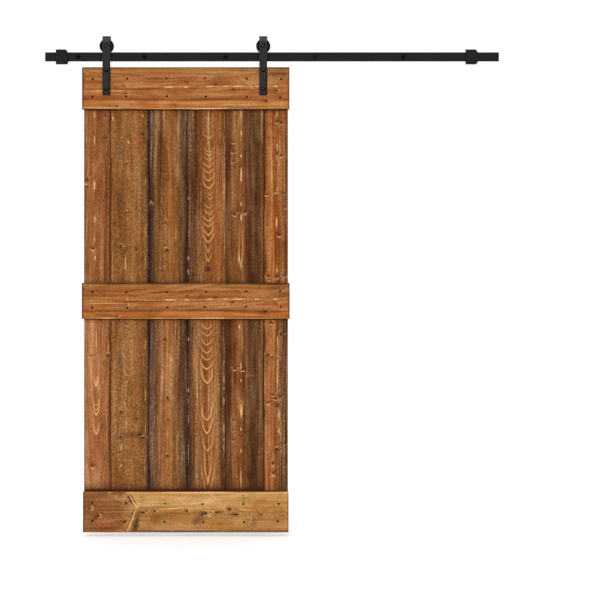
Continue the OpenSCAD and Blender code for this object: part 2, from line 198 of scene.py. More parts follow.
def offsets(group, come, across, along):
    """How far a spot lies sideways and endways from a knot or mark."""
    sideways = maths(group, "SUBTRACT", come["Across"], come[across])
    endways = maths(group, "SUBTRACT", come["Along"], come[along])
    return sideways, endways


def rounded(group, sideways, endways, half_width, half_length, ragged):
    """The distance from the middle of an oval, where 1 is its edge, made ragged."""
    x = maths(group, "DIVIDE", sideways, half_width)
    y = maths(group, "DIVIDE", endways, half_length)
    return maths(group, "MULTIPLY", distance(group, x, y), ragged)


# Where each part of a knot begins to show and where it is full, in half widths from its middle
HEART_SHOWS = (1.15, 0.45)
HALO_SHOWS = (3.0, 0.9)
CRESCENT_OUTSIDE = (1.75, 1.15)
CRESCENT_INSIDE = (0.95, 1.35)
CRESCENT_LEAN = 0.75         # how far the crescent lies along the board, in half lengths
PUSH = 0.8                   # how far a knot pushes the grain aside
PUSH_FALL = 0.13             # how fast that push dies away


def knot_group():
    """One knot: bends the grain round it, and adds its heart, stain and pale crescent to the rest."""
    group, come, leave = new_group(
        "knot",
        ["Across", "Along", "Bent", "Heart", "Halo", "Rim", "Ragged", "Knot across", "Knot along",
         "Half width", "Half length", "Darkness", "Paleness"],
        ["Bent", "Heart", "Halo", "Rim"],
    )
    sideways, endways = offsets(group, come, "Knot across", "Knot along")
    size = (come["Half width"], come["Half length"], come["Ragged"])
    far = rounded(group, sideways, endways, *size)
    fall = maths(group, "MULTIPLY", maths(group, "MULTIPLY", far, far), -PUSH_FALL)
    pushed = maths(group, "MULTIPLY", sideways, maths(group, "EXPONENT", fall))
    heart = maths(group, "MULTIPLY", fade(group, far, *HEART_SHOWS), come["Darkness"])
    halo = maths(group, "MULTIPLY", fade(group, far, *HALO_SHOWS), come["Darkness"])
    lean = maths(group, "MULTIPLY", maths(group, "SIGN", come["Paleness"]), come["Half length"])
    beside = maths(group, "MULTIPLY_ADD", lean, -CRESCENT_LEAN, endways)
    off_crescent = rounded(group, sideways, beside, *size)
    outside = fade(group, off_crescent, *CRESCENT_OUTSIDE)
    crescent = maths(group, "MULTIPLY", outside, fade(group, far, *CRESCENT_INSIDE))
    rim = maths(group, "MULTIPLY", crescent, maths(group, "ABSOLUTE", come["Paleness"]))
    feed(group, leave, {
        "Bent": maths(group, "MULTIPLY_ADD", pushed, -PUSH, come["Bent"]),
        "Heart": maths(group, "MAXIMUM", come["Heart"], heart),
        "Halo": maths(group, "MAXIMUM", come["Halo"], halo),
        "Rim": maths(group, "MAXIMUM", come["Rim"], rim),
    })
    return group


def mark_group():
    """One stain, streak, dash or crack: an oval of another colour, slanted if need be."""
    group, come, leave = new_group(
        "mark",
        ["Colour", "Across", "Along", "Ragged", "Mark across", "Mark along", "Half width",
         "Half length", "Slant", "Core", "Tint", "Strength"],
        ["Colour"],
    )
    sideways, endways = offsets(group, come, "Mark across", "Mark along")
    leaned = maths(group, "SUBTRACT", sideways, maths(group, "MULTIPLY", endways, come["Slant"]))
    far = rounded(group, leaned, endways, come["Half width"], come["Half length"], come["Ragged"])
    cover = maths(group, "MULTIPLY", fade(group, far, 1.0, come["Core"]), come["Strength"])
    feed(group, leave, {"Colour": mixed(group, cover, come["Colour"], come["Tint"])})
    return group


ARCH_WANDER = 10 * MM        # how far an arch's line strays sideways
FOOT_WIDTH = 0.75            # an arch's width at its foot, as a share of the half width
FLARE = 0.55                 # how much wider it has grown at the ends of its arms
POINTEDNESS = 1.5            # 2 would make its nose round, 1 would make it a V
LINE_CORE = 0.3              # the solid share of its pale line
GAP_MIDDLE = 1.6             # where the dark gap outside the line lies, as the line lies at 1
GAP_SHOWS = (0.6, 0.2)       # how far from there the gap begins to show and is full
GAP_STRENGTH = 0.6


def arch_group():
    """One pale pointed arch of growth, foot down, as where the saw ran along the heart of the tree."""
    group, come, leave = new_group(
        "growth arch",
        ["Colour", "Across", "Along", "Wander", "Middle", "Foot", "Half width", "Arms", "Nose",
         "Line", "Tint", "Between", "Strength"],
        ["Colour"],
    )
    off = maths(group, "SUBTRACT", come["Across"], come["Middle"])
    off = maths(group, "ABSOLUTE", maths(group, "MULTIPLY_ADD", come["Wander"], ARCH_WANDER, off))
    above = maths(group, "SUBTRACT", come["Foot"], come["Along"])
    below = maths(group, "MAXIMUM", maths(group, "SUBTRACT", come["Nose"], above), 0.0)
    risen = maths(group, "DIVIDE", above, come["Arms"])
    flare = maths(group, "MULTIPLY_ADD", risen, FLARE, FOOT_WIDTH)
    half_here = maths(group, "MULTIPLY", come["Half width"], flare)
    side = maths(group, "POWER", maths(group, "DIVIDE", off, half_here), POINTEDNESS)
    nose = maths(group, "POWER", maths(group, "DIVIDE", below, come["Nose"]), POINTEDNESS)
    far = maths(group, "ADD", side, nose)
    cover = maths(group, "MULTIPLY", fade(group, risen, 1.0, 0.1), come["Strength"])
    off_gap = maths(group, "ABSOLUTE", maths(group, "SUBTRACT", far, GAP_MIDDLE))
    gap = maths(group, "MULTIPLY", fade(group, off_gap, *GAP_SHOWS), cover)
    darker = mixed(group, maths(group, "MULTIPLY", gap, GAP_STRENGTH), come["Colour"], come["Between"])
    off_line = maths(group, "ABSOLUTE", maths(group, "SUBTRACT", far, 1.0))
    line = fade(group, off_line, come["Line"], maths(group, "MULTIPLY", come["Line"], LINE_CORE))
    paler = mixed(group, maths(group, "MULTIPLY", line, cover), darker, come["Tint"])
    feed(group, leave, {"Colour": paler})
    return group


GRAIN = grain_group()
KNOT = knot_group()
MARK = mark_group()
ARCH = arch_group()

# ------------------------------------------------------------------ timber colours

HEART = shade(46, 22, 14)
HALO = shade(96, 52, 28)
RIM = shade(222, 164, 104)
CREAM = shade(236, 182, 116)
PALE = shade(200, 142, 84)
GREEN_GREY = shade(96, 82, 52)
PURPLE = shade(84, 52, 46)
RED_BROWN = shade(170, 98, 56)
CRACK = shade(40, 20, 12)
# for the lines of painted shade and pooled stain along the battens
POOLED_STAIN_AND_SHADE = shade(30, 13, 7)
SOAKED = shade(70, 40, 20)
GOLD = shade(176, 116, 52)
OLIVE = shade(116, 84, 40)
BONE = shade(206, 186, 168)
# painted shade at a batten's two ends
EDGE_SHADE = shade(76, 54, 34)
OLIVE_WASH = shade(226, 228, 206)
RUDDY_WASH = shade(248, 234, 222)


BROAD = 12                   # marks at least this wide and long, in millimetres, lie under the grain
SOFT = 0.1                   # the solid core that a broad mark usually has, as a share of its size
FIRM = 0.3                   # and a finer one


def colour_bands(tree, position, width, stops):
    """A colour for each place across a board; stops are (millimetres across, colour)."""
    ramp = add(tree, "ValToRGB", {0: maths(tree, "DIVIDE", position, width)})
    band = ramp.color_ramp
    band.interpolation = "EASE"
    for place, colour in stops[1:-1]:
        band.elements.new(place * MM / width).color = shade(*colour)
    band.elements[0].position = 0.0
    band.elements[0].color = shade(*stops[0][1])
    band.elements[-1].position = 1.0
    band.elements[-1].color = shade(*stops[-1][1])
    return ramp.outputs[0]


def marked(tree, colour, spot, marks):
    """Lay marks over a colour, one after another."""
    for across, along, half_w, half_l, tint, strength, *rest in marks:
        slant, core = rest or (0, SOFT if min(half_w, half_l) >= BROAD else FIRM)
        colour = use(tree, MARK, {
            "Colour": colour, **spot, "Mark across": across * MM, "Mark along": along * MM,
            "Half width": half_w * MM, "Half length": half_l * MM, "Slant": slant,
            "Core": core, "Tint": tint, "Strength": strength,
        })["Colour"]
    return colour


STAIN = 1.05                 # how deep the stain is, unless a look says otherwise
WASH = 0.8                   # how strong the olive and ruddy patches are, unless a look says otherwise
CONTRAST_PARTS = ("Fibre", "Streak", "Growth", "Speckle", "Tone")
CONTRAST = (1.05, 1.00, 0.10, 1.10, 0.60)
BAND_DRIFT = 16 * MM         # how far the colour bands wander sideways
FRAYING = (230, 170)         # repeats a metre, across and along, of the noise that frays an edge
SWELLING = (26, 22)          # and of the slower noise that only swells it
FRAYED = (2.4, -0.2)         # how far each noise moves an edge: its share, and the least
SWOLLEN = (1.4, 0.3)
OLIVE_PATCHES = (0.50, 0.68)     # where in the patch noise each wash begins and is full
RUDDY_PATCHES = (0.46, 0.30)
LOWER_BANDS = (0.90, 1.15)   # metres below the door's top between which the lower bands take over
STAIN_AND_SHADE_SKIN = (5 * MM, 2 * MM)    # how deep behind the front the pooled stain and painted shade end and are full
HALO_COVER = 0.70
RIM_COVER = 0.85
HEART_COVER = 0.90
FIBRE_RELIEF = 0.7
PORE_RELIEF = 0.3
HEART_SUNK = 0.5
WOOD_ROUGHNESS = (0.22, 0.46)    # what the fibres add, and the least
WOOD_GLOSS = 0.08
WOOD_BUMP = 0.6
WOOD_RELIEF = 0.8 * MM


def timber(name, board, lengthways, look):
    """The oiled pine of one board. Lengthways is the axis that the grain follows: "Z" or "X"."""
    material = bpy.data.materials.new(name)
    material.use_nodes = True
    tree = material.node_tree
    low, high = board
    place = add(tree, "SeparateXYZ", {0: add(tree, "TexCoord").outputs["Object"]}).outputs
    from_left = maths(tree, "SUBTRACT", place["X"], low[0])
    from_top = maths(tree, "SUBTRACT", high[2], place["Z"])
    depth = maths(tree, "ADD", place["Y"], look.get("seed", 0.0))
    upright = lengthways == "Z"
    across, along = (from_left, from_top) if upright else (from_top, from_left)
    width = (high[0] - low[0]) if upright else (high[2] - low[2])

    fine = grained(tree, across, along, depth, *FRAYING, detail=2.0)
    ragged = maths(tree, "MULTIPLY_ADD", fine, *FRAYED)
    slow = grained(tree, across, along, depth, *SWELLING, detail=1.0)
    softly_ragged = maths(tree, "MULTIPLY_ADD", slow, *SWOLLEN)
    wander = maths(tree, "SUBTRACT", slow, 0.5)

    bent, heart, halo, rim = across, 0.0, 0.0, 0.0
    for k_across, k_along, size, stretch, dark, pale in look.get("knots", ()):
        bent, heart, halo, rim = use(tree, KNOT, {
            "Across": across, "Along": along, "Bent": bent, "Heart": heart, "Halo": halo, "Rim": rim,
            "Ragged": ragged, "Knot across": k_across * MM, "Knot along": k_along * MM,
            "Half width": size * MM, "Half length": size * stretch * MM,
            "Darkness": dark, "Paleness": pale,
        })

    grain = use(tree, GRAIN, {"Across": bent, "Along": along, "Depth": depth})
    drift = maths(tree, "MULTIPLY_ADD", grain["Tone"], BAND_DRIFT, -BAND_DRIFT / 2)
    banded = maths(tree, "ADD", bent, drift)
    colour = colour_bands(tree, banded, width, look["bands"])
    if "lower_bands" in look:
        lower = colour_bands(tree, banded, width, look["lower_bands"])
        colour = mixed(tree, fade(tree, along, *LOWER_BANDS), colour, lower)
    olive = fade(tree, grain["Patch"], *OLIVE_PATCHES, 0.0, look.get("olive", WASH))
    colour = mixed(tree, olive, colour, OLIVE_WASH, blend="MULTIPLY")
    ruddy = fade(tree, grain["Patch"], *RUDDY_PATCHES, 0.0, look.get("ruddy", WASH))
    colour = mixed(tree, ruddy, colour, RUDDY_WASH, blend="MULTIPLY")

    spot = {"Across": across, "Along": along, "Ragged": ragged}
    soft_spot = dict(spot, Ragged=softly_ragged)
    marks = look.get("marks", ())
    broad = [mark for mark in marks if min(mark[2], mark[3]) >= BROAD]
    narrow = [mark for mark in marks if min(mark[2], mark[3]) < BROAD]
    colour = marked(tree, colour, soft_spot, broad)

    depth_of_stain = look.get("stain", STAIN)
    for part, amount in zip(CONTRAST_PARTS, look.get("contrast", CONTRAST)):
        swing = maths(tree, "SUBTRACT", grain[part], 0.5)
        depth_of_stain = maths(tree, "MULTIPLY_ADD", swing, -amount, depth_of_stain)
    colour = add(tree, "Gamma", {"Color": colour, "Gamma": depth_of_stain}).outputs[0]

    for middle, foot, half, arms, nose, line, strength in look.get("arches", ()):
        colour = use(tree, ARCH, {
            "Colour": colour, "Across": bent, "Along": along, "Wander": wander,
            "Middle": middle * MM, "Foot": foot * MM, "Half width": half * MM, "Arms": arms * MM,
            "Nose": nose * MM, "Line": line, "Tint": look["arch_tint"], "Between": look["arch_gap"],
            "Strength": strength,
        })["Colour"]

    colour = marked(tree, colour, spot, narrow)
    # lines of painted shade and pooled stain along the battens, on the front face only
    if "stain_and_shade" in look:
        stained_and_shaded = marked(tree, colour, spot, look["stain_and_shade"])
        front = fade(tree, maths(tree, "SUBTRACT", place["Y"], low[1]), *STAIN_AND_SHADE_SKIN)
        colour = mixed(tree, front, colour, stained_and_shaded)

    covers = ((halo, HALO_COVER, HALO), (rim, RIM_COVER, RIM), (heart, HEART_COVER, HEART))
    for part, cover, tint in covers:
        colour = mixed(tree, maths(tree, "MULTIPLY", part, cover), colour, tint)

    relief = maths(tree, "MULTIPLY", grain["Pores"], PORE_RELIEF)
    relief = maths(tree, "MULTIPLY_ADD", grain["Fibre"], FIBRE_RELIEF, relief)
    relief = maths(tree, "MULTIPLY_ADD", heart, -HEART_SUNK, relief)
    bump = add(tree, "Bump", {"Strength": WOOD_BUMP, "Distance": WOOD_RELIEF, "Height": relief})
    rough = maths(tree, "MULTIPLY_ADD", grain["Fibre"], *WOOD_ROUGHNESS)
    shader = tree.nodes["Principled BSDF"]
    feed(tree, shader, {"Base Color": colour, "Roughness": rough, "Normal": bump.outputs[0]})
    shader.inputs["Specular IOR Level"].default_value = WOOD_GLOSS
    return material


# ------------------------------------------------------------------ what each board looks like
# Bands: millimetres across, colour
# Knots: across, along, half width, length to width, darkness, paleness of the crescent (its sign
#        says on which side the crescent lies)
# Marks: across, along, half width, half length, colour, strength, and where they aren't the
#        usual ones, slant and solid core
# Arches: middle, foot, half width, arm length, nose length, line width, strength
# Contrast: fibre, streak, growth, speckle, tone
# All lengths in millimetres: across from a plank's left edge, along from the door's top


def arches(middle, half, arms, nose, feet, line=0.34, strength=0.85):
    """Several growth arches one below another."""
    return [(middle, foot, half, arms, nose, line, strength) for foot in feet]


def dashes(across, half_w, places, tint, strength, slant=0.0):
    """Several short streaks one below another; places are (along, half length)."""
    return [(across, along, half_w, half, tint, strength, slant, FIRM) for along, half in places]


# The dark colours at each plank's two edges are painted shade on its eased edges and along the joints
# between planks.
PLANKS = {
    "plank_1": {
        "seed": 1.3, "stain": 1.09,
        "bands": [
            (0, (112, 78, 54)), (7, (150, 100, 60)), (30, (156, 102, 58)), (48, (148, 95, 53)),
            (70, (149, 95, 53)), (90, (140, 89, 48)), (108, (134, 84, 45)), (114, (104, 60, 32)),
            (118, (76, 38, 20)),
        ],
        "lower_bands": [
            (0, (128, 90, 66)), (8, (166, 112, 72)), (36, (174, 118, 75)), (56, (170, 114, 73)),
            (76, (161, 105, 65)), (96, (158, 104, 63)), (110, (134, 84, 48)), (118, (80, 42, 24)),
        ],
        "knots": [
            (11, 499, 6, 1.0, 0.8, 0.0), (9, 524, 4, 1.0, 0.9, -0.9), (10, 624, 3, 1.0, 0.8, 0.3),
            (86, 592, 3, 1.2, 0.8, 0.2), (41, 803, 7, 0.8, 0.9, 0.9), (93, 215, 5, 0.9, 0.5, 0.4),
            (92, 312, 7, 0.9, 0.4, 0.0), (32, 1279, 5, 0.9, 0.7, 0.7), (107, 1275, 6, 0.9, 0.9, -0.7),
            (37, 1765, 7, 1.2, 0.7, 0.6), (24, 1740, 4, 1.0, 0.5, 0.2),
        ],
        "arches": [
            *arches(54, 11, 70, 20, (1412, 1540, 1625), 0.5, 0.8),
            *arches(54, 14, 60, 16, (1498, 1518), 0.3, 0.55),
        ],
        "arch_tint": CREAM, "arch_gap": shade(140, 80, 42),
        "marks": [
            *dashes(46, 3.2, ((208, 17), (323, 24), (762, 9)), CREAM, 0.8),
            *dashes(48, 3.4, ((672, 23), (844, 14)), CREAM, 0.9),
            *dashes(46, 4.2, ((520, 31),), CREAM, 0.95), *dashes(54, 2.6, ((1210, 60),), CREAM, 0.8),
            (42, 445, 2.0, 46, PALE, 0.8, 0.02, 0.3), (52, 445, 2.0, 46, PALE, 0.8, -0.02, 0.3),
            (54, 1395, 3.0, 18, CREAM, 0.9), (58, 905, 40, 26, shade(128, 70, 40), 0.5),
            (108, 1241, 2.4, 30, CREAM, 0.7), (26, 1345, 26, 120, PALE, 0.3),
            (104, 300, 1.6, 240, SOAKED, 0.5, 0, 0.2), (104, 1500, 1.8, 300, PALE, 0.4, 0, 0.2),
        ],
    },
    "plank_2": {
        "seed": 5.1,
        "bands": [
            (0, (92, 54, 28)), (6, (140, 92, 50)), (30, (134, 87, 44)), (52, (138, 90, 47)),
            (80, (148, 98, 53)), (105, (148, 97, 52)), (130, (139, 90, 46)), (150, (126, 84, 44)),
            (160, (104, 68, 40)), (167, (60, 36, 28)), (170, (40, 22, 20)),
        ],
        "contrast": (0.70, 0.60, 0.04, 1.45, 0.75),
        "knots": [
            (142, 296, 6, 0.9, 1.0, 0.3), (147, 310, 5, 0.8, 0.8, 0.0), (69, 424, 4, 1.1, 0.9, -0.7),
            (69, 641, 5, 0.8, 0.9, -0.5), (16, 694, 4, 1.3, 0.8, 0.1), (44, 792, 9, 0.7, 0.7, -0.4),
            (58, 798, 5, 0.8, 0.4, -0.8), (113, 810, 4, 1.3, 1.0, 0.4), (69, 1137, 4, 1.0, 0.8, 0.4),
            (16, 1199, 4, 1.0, 0.7, 0.3), (91, 1204, 3, 1.0, 0.7, 0.3), (69, 1372, 4, 1.0, 0.9, -0.6),
            (47, 1527, 7, 0.9, 0.8, -0.3), (114, 1556, 5, 1.4, 0.7, 0.0),
            (42, 1640, 8, 0.7, 0.8, -0.4), (130, 1628, 8, 0.8, 0.9, 0.0),
            (142, 1642, 9, 0.5, 1.0, -0.5), (38, 1709, 4, 1.0, 0.8, 0.5),
        ],
        "marks": [
            (36, 362, 26, 40, GREEN_GREY, 0.62), (44, 582, 28, 48, GREEN_GREY, 0.65),
            (44, 1297, 30, 46, GREEN_GREY, 0.58), (36, 775, 14, 26, GREEN_GREY, 0.7, 0.4, 0.1),
            (146, 460, 12, 34, GREEN_GREY, 0.5), (146, 680, 12, 34, GREEN_GREY, 0.5),
            (120, 331, 22, 20, RED_BROWN, 0.6), (46, 318, 12, 14, RED_BROWN, 0.5),
            (85, 1628, 70, 22, SOAKED, 0.5), (60, 1520, 50, 26, RED_BROWN, 0.25),
            (9, 225, 3.4, 16, CREAM, 0.7), (143, 214, 3.4, 8, CREAM, 0.7),
            (78, 330, 4, 12, CREAM, 0.8, 0.3, 0.3), (70, 1580, 4, 30, CREAM, 0.5),
            (65, 870, 3.4, 44, CREAM, 0.75, 0, 0.2), (47, 1684, 4, 26, CREAM, 0.6),
            (46, 1765, 4, 10, CREAM, 0.7),
            *dashes(154, 2.8, ((504, 15), (734, 34), (850, 29), (1226, 30), (1452, 40), (1600, 30)),
                    PALE, 0.75),
        ],
    },
    "plank_3": {
        "seed": 9.7,
        "bands": [
            (0, (46, 30, 26)), (4, (76, 54, 42)), (12, (96, 70, 48)), (23, (112, 76, 44)),
            (41, (128, 84, 43)), (58, (124, 79, 40)), (76, (140, 91, 46)), (90, (160, 107, 58)),
            (100, (150, 99, 54)), (112, (136, 89, 46)), (129, (121, 79, 42)), (147, (98, 65, 36)),
            (163, (78, 52, 32)), (170, (46, 28, 26)),
        ],
        "lower_bands": [
            (0, (48, 30, 26)), (5, (82, 60, 48)), (16, (108, 78, 58)), (30, (128, 86, 58)),
            (46, (142, 94, 59)), (62, (152, 101, 60)), (78, (168, 114, 67)), (94, (158, 105, 62)),
            (112, (136, 90, 53)), (129, (123, 82, 48)), (147, (104, 72, 46)), (163, (84, 58, 38)),
            (170, (48, 30, 26)),
        ],
        "contrast": (1.15, 1.25, 0.10, 1.15, 0.80),
        "knots": [
            (74, 630, 3, 1.0, 0.6, 0.0), (72, 685, 6, 0.6, 0.9, -0.4), (70, 790, 4, 1.0, 0.8, 0.5),
            (80, 808, 7, 0.8, 0.9, -0.6), (70, 1208, 5, 0.9, 0.9, 0.3), (82, 1465, 5, 1.5, 0.9, -0.3),
            (86, 1560, 3, 1.4, 0.7, -0.4), (82, 1722, 5, 1.3, 0.9, -0.4),
            (96, 1372, 3, 1.0, 0.6, -0.6), (86, 1812, 3, 1.2, 0.6, 0.4), (10, 612, 5, 1.6, 0.7, -0.5),
        ],
        "marks": [
            (16, 640, 16, 30, shade(84, 66, 52), 0.7), (88, 680, 24, 22, RED_BROWN, 0.55),
            (92, 1262, 2.4, 16, CRACK, 0.85, 0.9, 0.3), (128, 280, 9, 60, PALE, 0.40, 0, 0.1),
            (128, 480, 12, 60, PALE, 0.45), (118, 735, 12, 50, GOLD, 0.45),
            (112, 850, 10, 30, RED_BROWN, 0.4, 0, 0.1), (100, 1190, 18, 50, RED_BROWN, 0.3),
            (150, 700, 14, 60, SOAKED, 0.45), (46, 840, 5, 50, OLIVE, 0.5, 0, 0.1),
            (24, 480, 2.2, 240, CRACK, 0.35, 0, 0.2), (48, 560, 2.0, 300, CRACK, 0.4, 0, 0.2),
            (132, 1500, 2.0, 400, CRACK, 0.6, 0, 0.2), (33, 1500, 2.0, 330, SOAKED, 0.5, 0, 0.2),
            (95, 1300, 14, 50, shade(190, 126, 80), 0.5),
        ],
    },
    "plank_4": {
        "seed": 14.2, "stain": 1.10,
        "bands": [
            (0, (52, 34, 28)), (5, (90, 60, 38)), (13, (101, 66, 38)), (31, (106, 68, 35)),
            (48, (118, 75, 38)), (66, (124, 77, 39)), (84, (137, 86, 45)), (101, (145, 92, 48)),
            (119, (156, 101, 55)), (137, (155, 100, 54)), (155, (138, 89, 48)), (170, (104, 66, 36)),
        ],
        "lower_bands": [
            (0, (46, 30, 26)), (6, (92, 62, 44)), (15, (112, 75, 48)), (31, (138, 92, 54)),
            (48, (142, 94, 55)), (66, (138, 90, 50)), (84, (142, 90, 50)), (101, (150, 98, 54)),
            (119, (160, 108, 61)), (137, (142, 95, 54)), (153, (114, 74, 40)), (164, (96, 60, 34)),
            (170, (88, 56, 34)),
        ],
        "contrast": (1.35, 1.35, 0.10, 1.25, 0.80),
        "arches": [
            *arches(96, 14, 24, 13, (232, 250, 272, 292), 0.42, 0.45),
            *arches(95, 17, 34, 17, (316,), 0.42, 0.65),
            *arches(97, 17, 26, 12, (375, 391, 413), 0.42, 0.65),
            *arches(94, 21, 32, 14, (441, 467), 0.40, 0.75),
            *arches(95, 22, 56, 22, (502, 535), 0.38, 0.7),
            *arches(101, 12, 30, 14, (566, 586), 0.46, 0.6),
            *arches(97, 16, 28, 13, (623, 652), 0.42, 0.7),
            *arches(94, 21, 34, 15, (680, 705), 0.40, 0.75),
            *arches(93, 22, 60, 26, (743, 774), 0.38, 0.7),
            *arches(92, 11, 46, 26, (817, 858), 0.55, 0.65),
            *arches(87, 20, 34, 14, (1160, 1190), 0.40, 0.7),
            *arches(86, 21, 38, 15, (1230, 1266, 1297), 0.38, 0.8),
            *arches(86, 23, 52, 19, (1337,), 0.38, 0.95),
            *arches(87, 22, 100, 24, (1399, 1563), 0.36, 0.95),
            *arches(88, 20, 96, 32, (1622,), 0.36, 0.95), *arches(90, 24, 120, 40, (1700,), 0.30, 0.6),
            *arches(92, 15, 190, 90, (1838,), 0.40, 0.85),
            *arches(92, 25, 220, 110, (1905,), 0.28, 0.6),
        ],
        "arch_tint": shade(214, 152, 90), "arch_gap": shade(112, 66, 32),
        "marks": [
            (92, 892, 26, 20, PURPLE, 0.8), (138, 770, 16, 34, OLIVE, 0.45),
            (57, 1259, 5, 40, PURPLE, 0.6, 0, 0.2), (141, 1175, 10, 26, GREEN_GREY, 0.5, 0, 0.1),
            (40, 1300, 7, 110, GOLD, 0.5, 0, 0.1), (38, 1540, 5, 60, GOLD, 0.6, 0, 0.1),
            (26, 440, 16, 90, OLIVE, 0.45), (145, 1480, 14, 90, SOAKED, 0.5),
            (125, 430, 1.8, 150, SOAKED, 0.5, 0.01, 0.2), (30, 1790, 26, 60, GREEN_GREY, 0.4),
            *dashes(4, 2.4, ((580, 7), (846, 12), (904, 14), (1204, 10), (1430, 11)), BONE, 0.85, 0.12),
            *dashes(4, 1.6, ((1480, 22), (1560, 40), (1710, 60)), BONE, 0.5),
            *dashes(162, 2.2, ((1310, 8), (1380, 22), (1425, 8), (1480, 22), (1598, 34), (1650, 8),
                               (1686, 18)), BONE, 0.7),
            *dashes(165, 2.2, ((230, 60), (350, 26), (560, 60), (760, 70)), PALE, 0.45),
        ],
    },
    "plank_5": {
        "seed": 21.4, "stain": 1.13,
        "bands": [
            (0, (110, 70, 40)), (10, (106, 66, 37)), (20, (108, 66, 35)), (38, (132, 84, 45)),
            (55, (142, 92, 50)), (68, (138, 88, 47)), (80, (120, 76, 41)), (95, (110, 70, 38)),
            (109, (97, 63, 33)), (126, (92, 58, 29)), (144, (100, 63, 33)), (158, (112, 76, 42)),
            (163, (128, 92, 52)), (167, (92, 52, 28)), (170, (58, 22, 12)),
        ],
        "contrast": (0.95, 1.00, 0.10, 0.95, 0.85),
        "olive": 1.0, "ruddy": 0.4,
        "knots": [
            (33, 331, 5, 0.8, 0.6, 0.7), (33, 375, 5, 0.8, 0.6, 0.8), (33, 418, 5, 0.8, 0.6, 0.6),
            (22, 643, 4, 0.8, 0.7, 0.0), (38, 650, 7, 0.9, 0.9, 0.6), (54, 641, 4, 0.7, 0.9, 0.7),
            (86, 640, 5, 1.4, 1.0, 0.7), (76, 650, 4, 0.8, 0.6, 0.6), (28, 1322, 5, 0.9, 0.8, 0.3),
            (40, 1336, 6, 0.8, 0.9, 0.8), (56, 1326, 4, 1.0, 0.7, 0.6), (76, 1341, 6, 0.7, 0.9, 0.8),
            (35, 1565, 5, 0.8, 0.8, 0.7), (35, 1609, 4, 0.8, 0.8, 0.8), (35, 1652, 5, 0.8, 0.8, 0.8),
            (130, 1650, 10, 1.2, 0.5, 0.0),
        ],
        "arches": [
            *arches(69, 9, 110, 60, (1545,), 0.45, 0.5), *arches(67, 10, 170, 90, (880,), 0.4, 0.5),
        ],
        "arch_tint": CREAM, "arch_gap": shade(116, 72, 38),
        "marks": [
            (117, 320, 26, 44, shade(88, 74, 40), 0.6), (134, 331, 22, 34, SOAKED, 0.6, 0.5, 0.1),
            (130, 570, 26, 50, SOAKED, 0.5), (116, 620, 30, 18, RED_BROWN, 0.25),
            (106, 1673, 22, 60, shade(92, 82, 34), 0.6), (28, 360, 16, 60, SOAKED, 0.5),
            (128, 1420, 20, 60, GREEN_GREY, 0.4), (26, 1600, 16, 60, GREEN_GREY, 0.6),
            (22, 660, 14, 34, PURPLE, 0.6), (22, 1360, 14, 34, PURPLE, 0.6),
            (104, 1366, 36, 14, RED_BROWN, 0.35), (38, 440, 15, 3, CRACK, 0.8),
            (57, 250, 2.2, 70, PALE, 0.7, -0.10, 0.2), (63, 760, 2.0, 110, PALE, 0.7, -0.02, 0.2),
            (74, 760, 2.0, 120, PALE, 0.8, 0.01, 0.2), (74, 900, 2.2, 60, PALE, 0.8, 0, 0.2),
            (58, 850, 3.2, 24, CREAM, 0.8), (73, 1200, 2.2, 90, PALE, 0.85, 0, 0.2),
            (60, 1150, 3.2, 14, CREAM, 0.9), (150, 1500, 2.0, 420, PALE, 0.3, 0, 0.2),
            *dashes(69, 3.4, ((205, 28), (292, 14), (392, 13), (605, 12)), CREAM, 0.85),
            *dashes(69, 4.4, ((478, 44), (664, 22), (1520, 44)), CREAM, 0.95),
            *dashes(68, 3.0, ((1330, 26), (1388, 10), (1604, 12), (1700, 12), (1830, 70)), CREAM, 0.85),
        ],
    },
    "plank_6": {
        "seed": 27.8, "stain": 1.08,
        "bands": [
            (0, (70, 28, 14)), (5, (142, 86, 46)), (12, (162, 102, 56)), (27, (168, 108, 59)),
            (45, (166, 107, 58)), (58, (156, 99, 52)), (66, (146, 92, 48)), (80, (152, 97, 52)),
            (98, (138, 90, 49)), (106, (112, 74, 44)),
        ],
        "lower_bands": [
            (0, (74, 30, 16)), (5, (142, 90, 48)), (12, (164, 107, 60)), (27, (168, 110, 62)),
            (45, (158, 102, 57)), (56, (136, 88, 48)), (68, (120, 78, 42)), (90, (112, 72, 39)),
            (106, (92, 58, 34)),
        ],
        "contrast": (1.60, 1.60, 0.12, 1.20, 0.90),
        "knots": [
            (58, 239, 5, 1.3, 0.8, 0.7), (76, 245, 6, 0.8, 0.9, 0.7), (66, 254, 4, 0.8, 0.7, 0.8),
            (58, 383, 5, 1.3, 0.8, 0.7), (76, 390, 6, 0.8, 0.9, 0.7), (62, 398, 4, 0.8, 0.7, 0.8),
            (14, 564, 6, 0.6, 0.8, 0.9), (54, 566, 5, 1.2, 0.6, -0.9), (92, 558, 6, 0.6, 1.0, 0.5),
            (70, 742, 6, 1.0, 1.0, 0.8), (20, 926, 7, 0.7, 0.9, 0.7), (22, 938, 6, 0.6, 0.8, 0.7),
            (56, 926, 6, 1.1, 0.8, 0.7), (92, 922, 8, 0.6, 0.9, 0.7), (32, 1133, 6, 0.7, 0.9, 0.6),
            (74, 1184, 5, 0.9, 1.0, 0.3), (94, 1178, 5, 0.6, 0.9, 0.4), (18, 1276, 6, 0.7, 1.0, 0.0),
            (34, 1282, 5, 0.9, 0.9, -0.8), (60, 1286, 5, 0.8, 0.8, -0.7), (96, 1276, 6, 0.6, 0.8, 0.3),
            (38, 1452, 5, 0.8, 0.9, 0.6), (18, 1488, 6, 0.8, 0.9, 0.9), (30, 1484, 4, 0.8, 0.8, 0.5),
            (54, 1468, 6, 0.8, 1.0, 0.8), (72, 1458, 8, 0.6, 0.8, 0.3), (60, 1500, 6, 1.4, 0.8, 0.2),
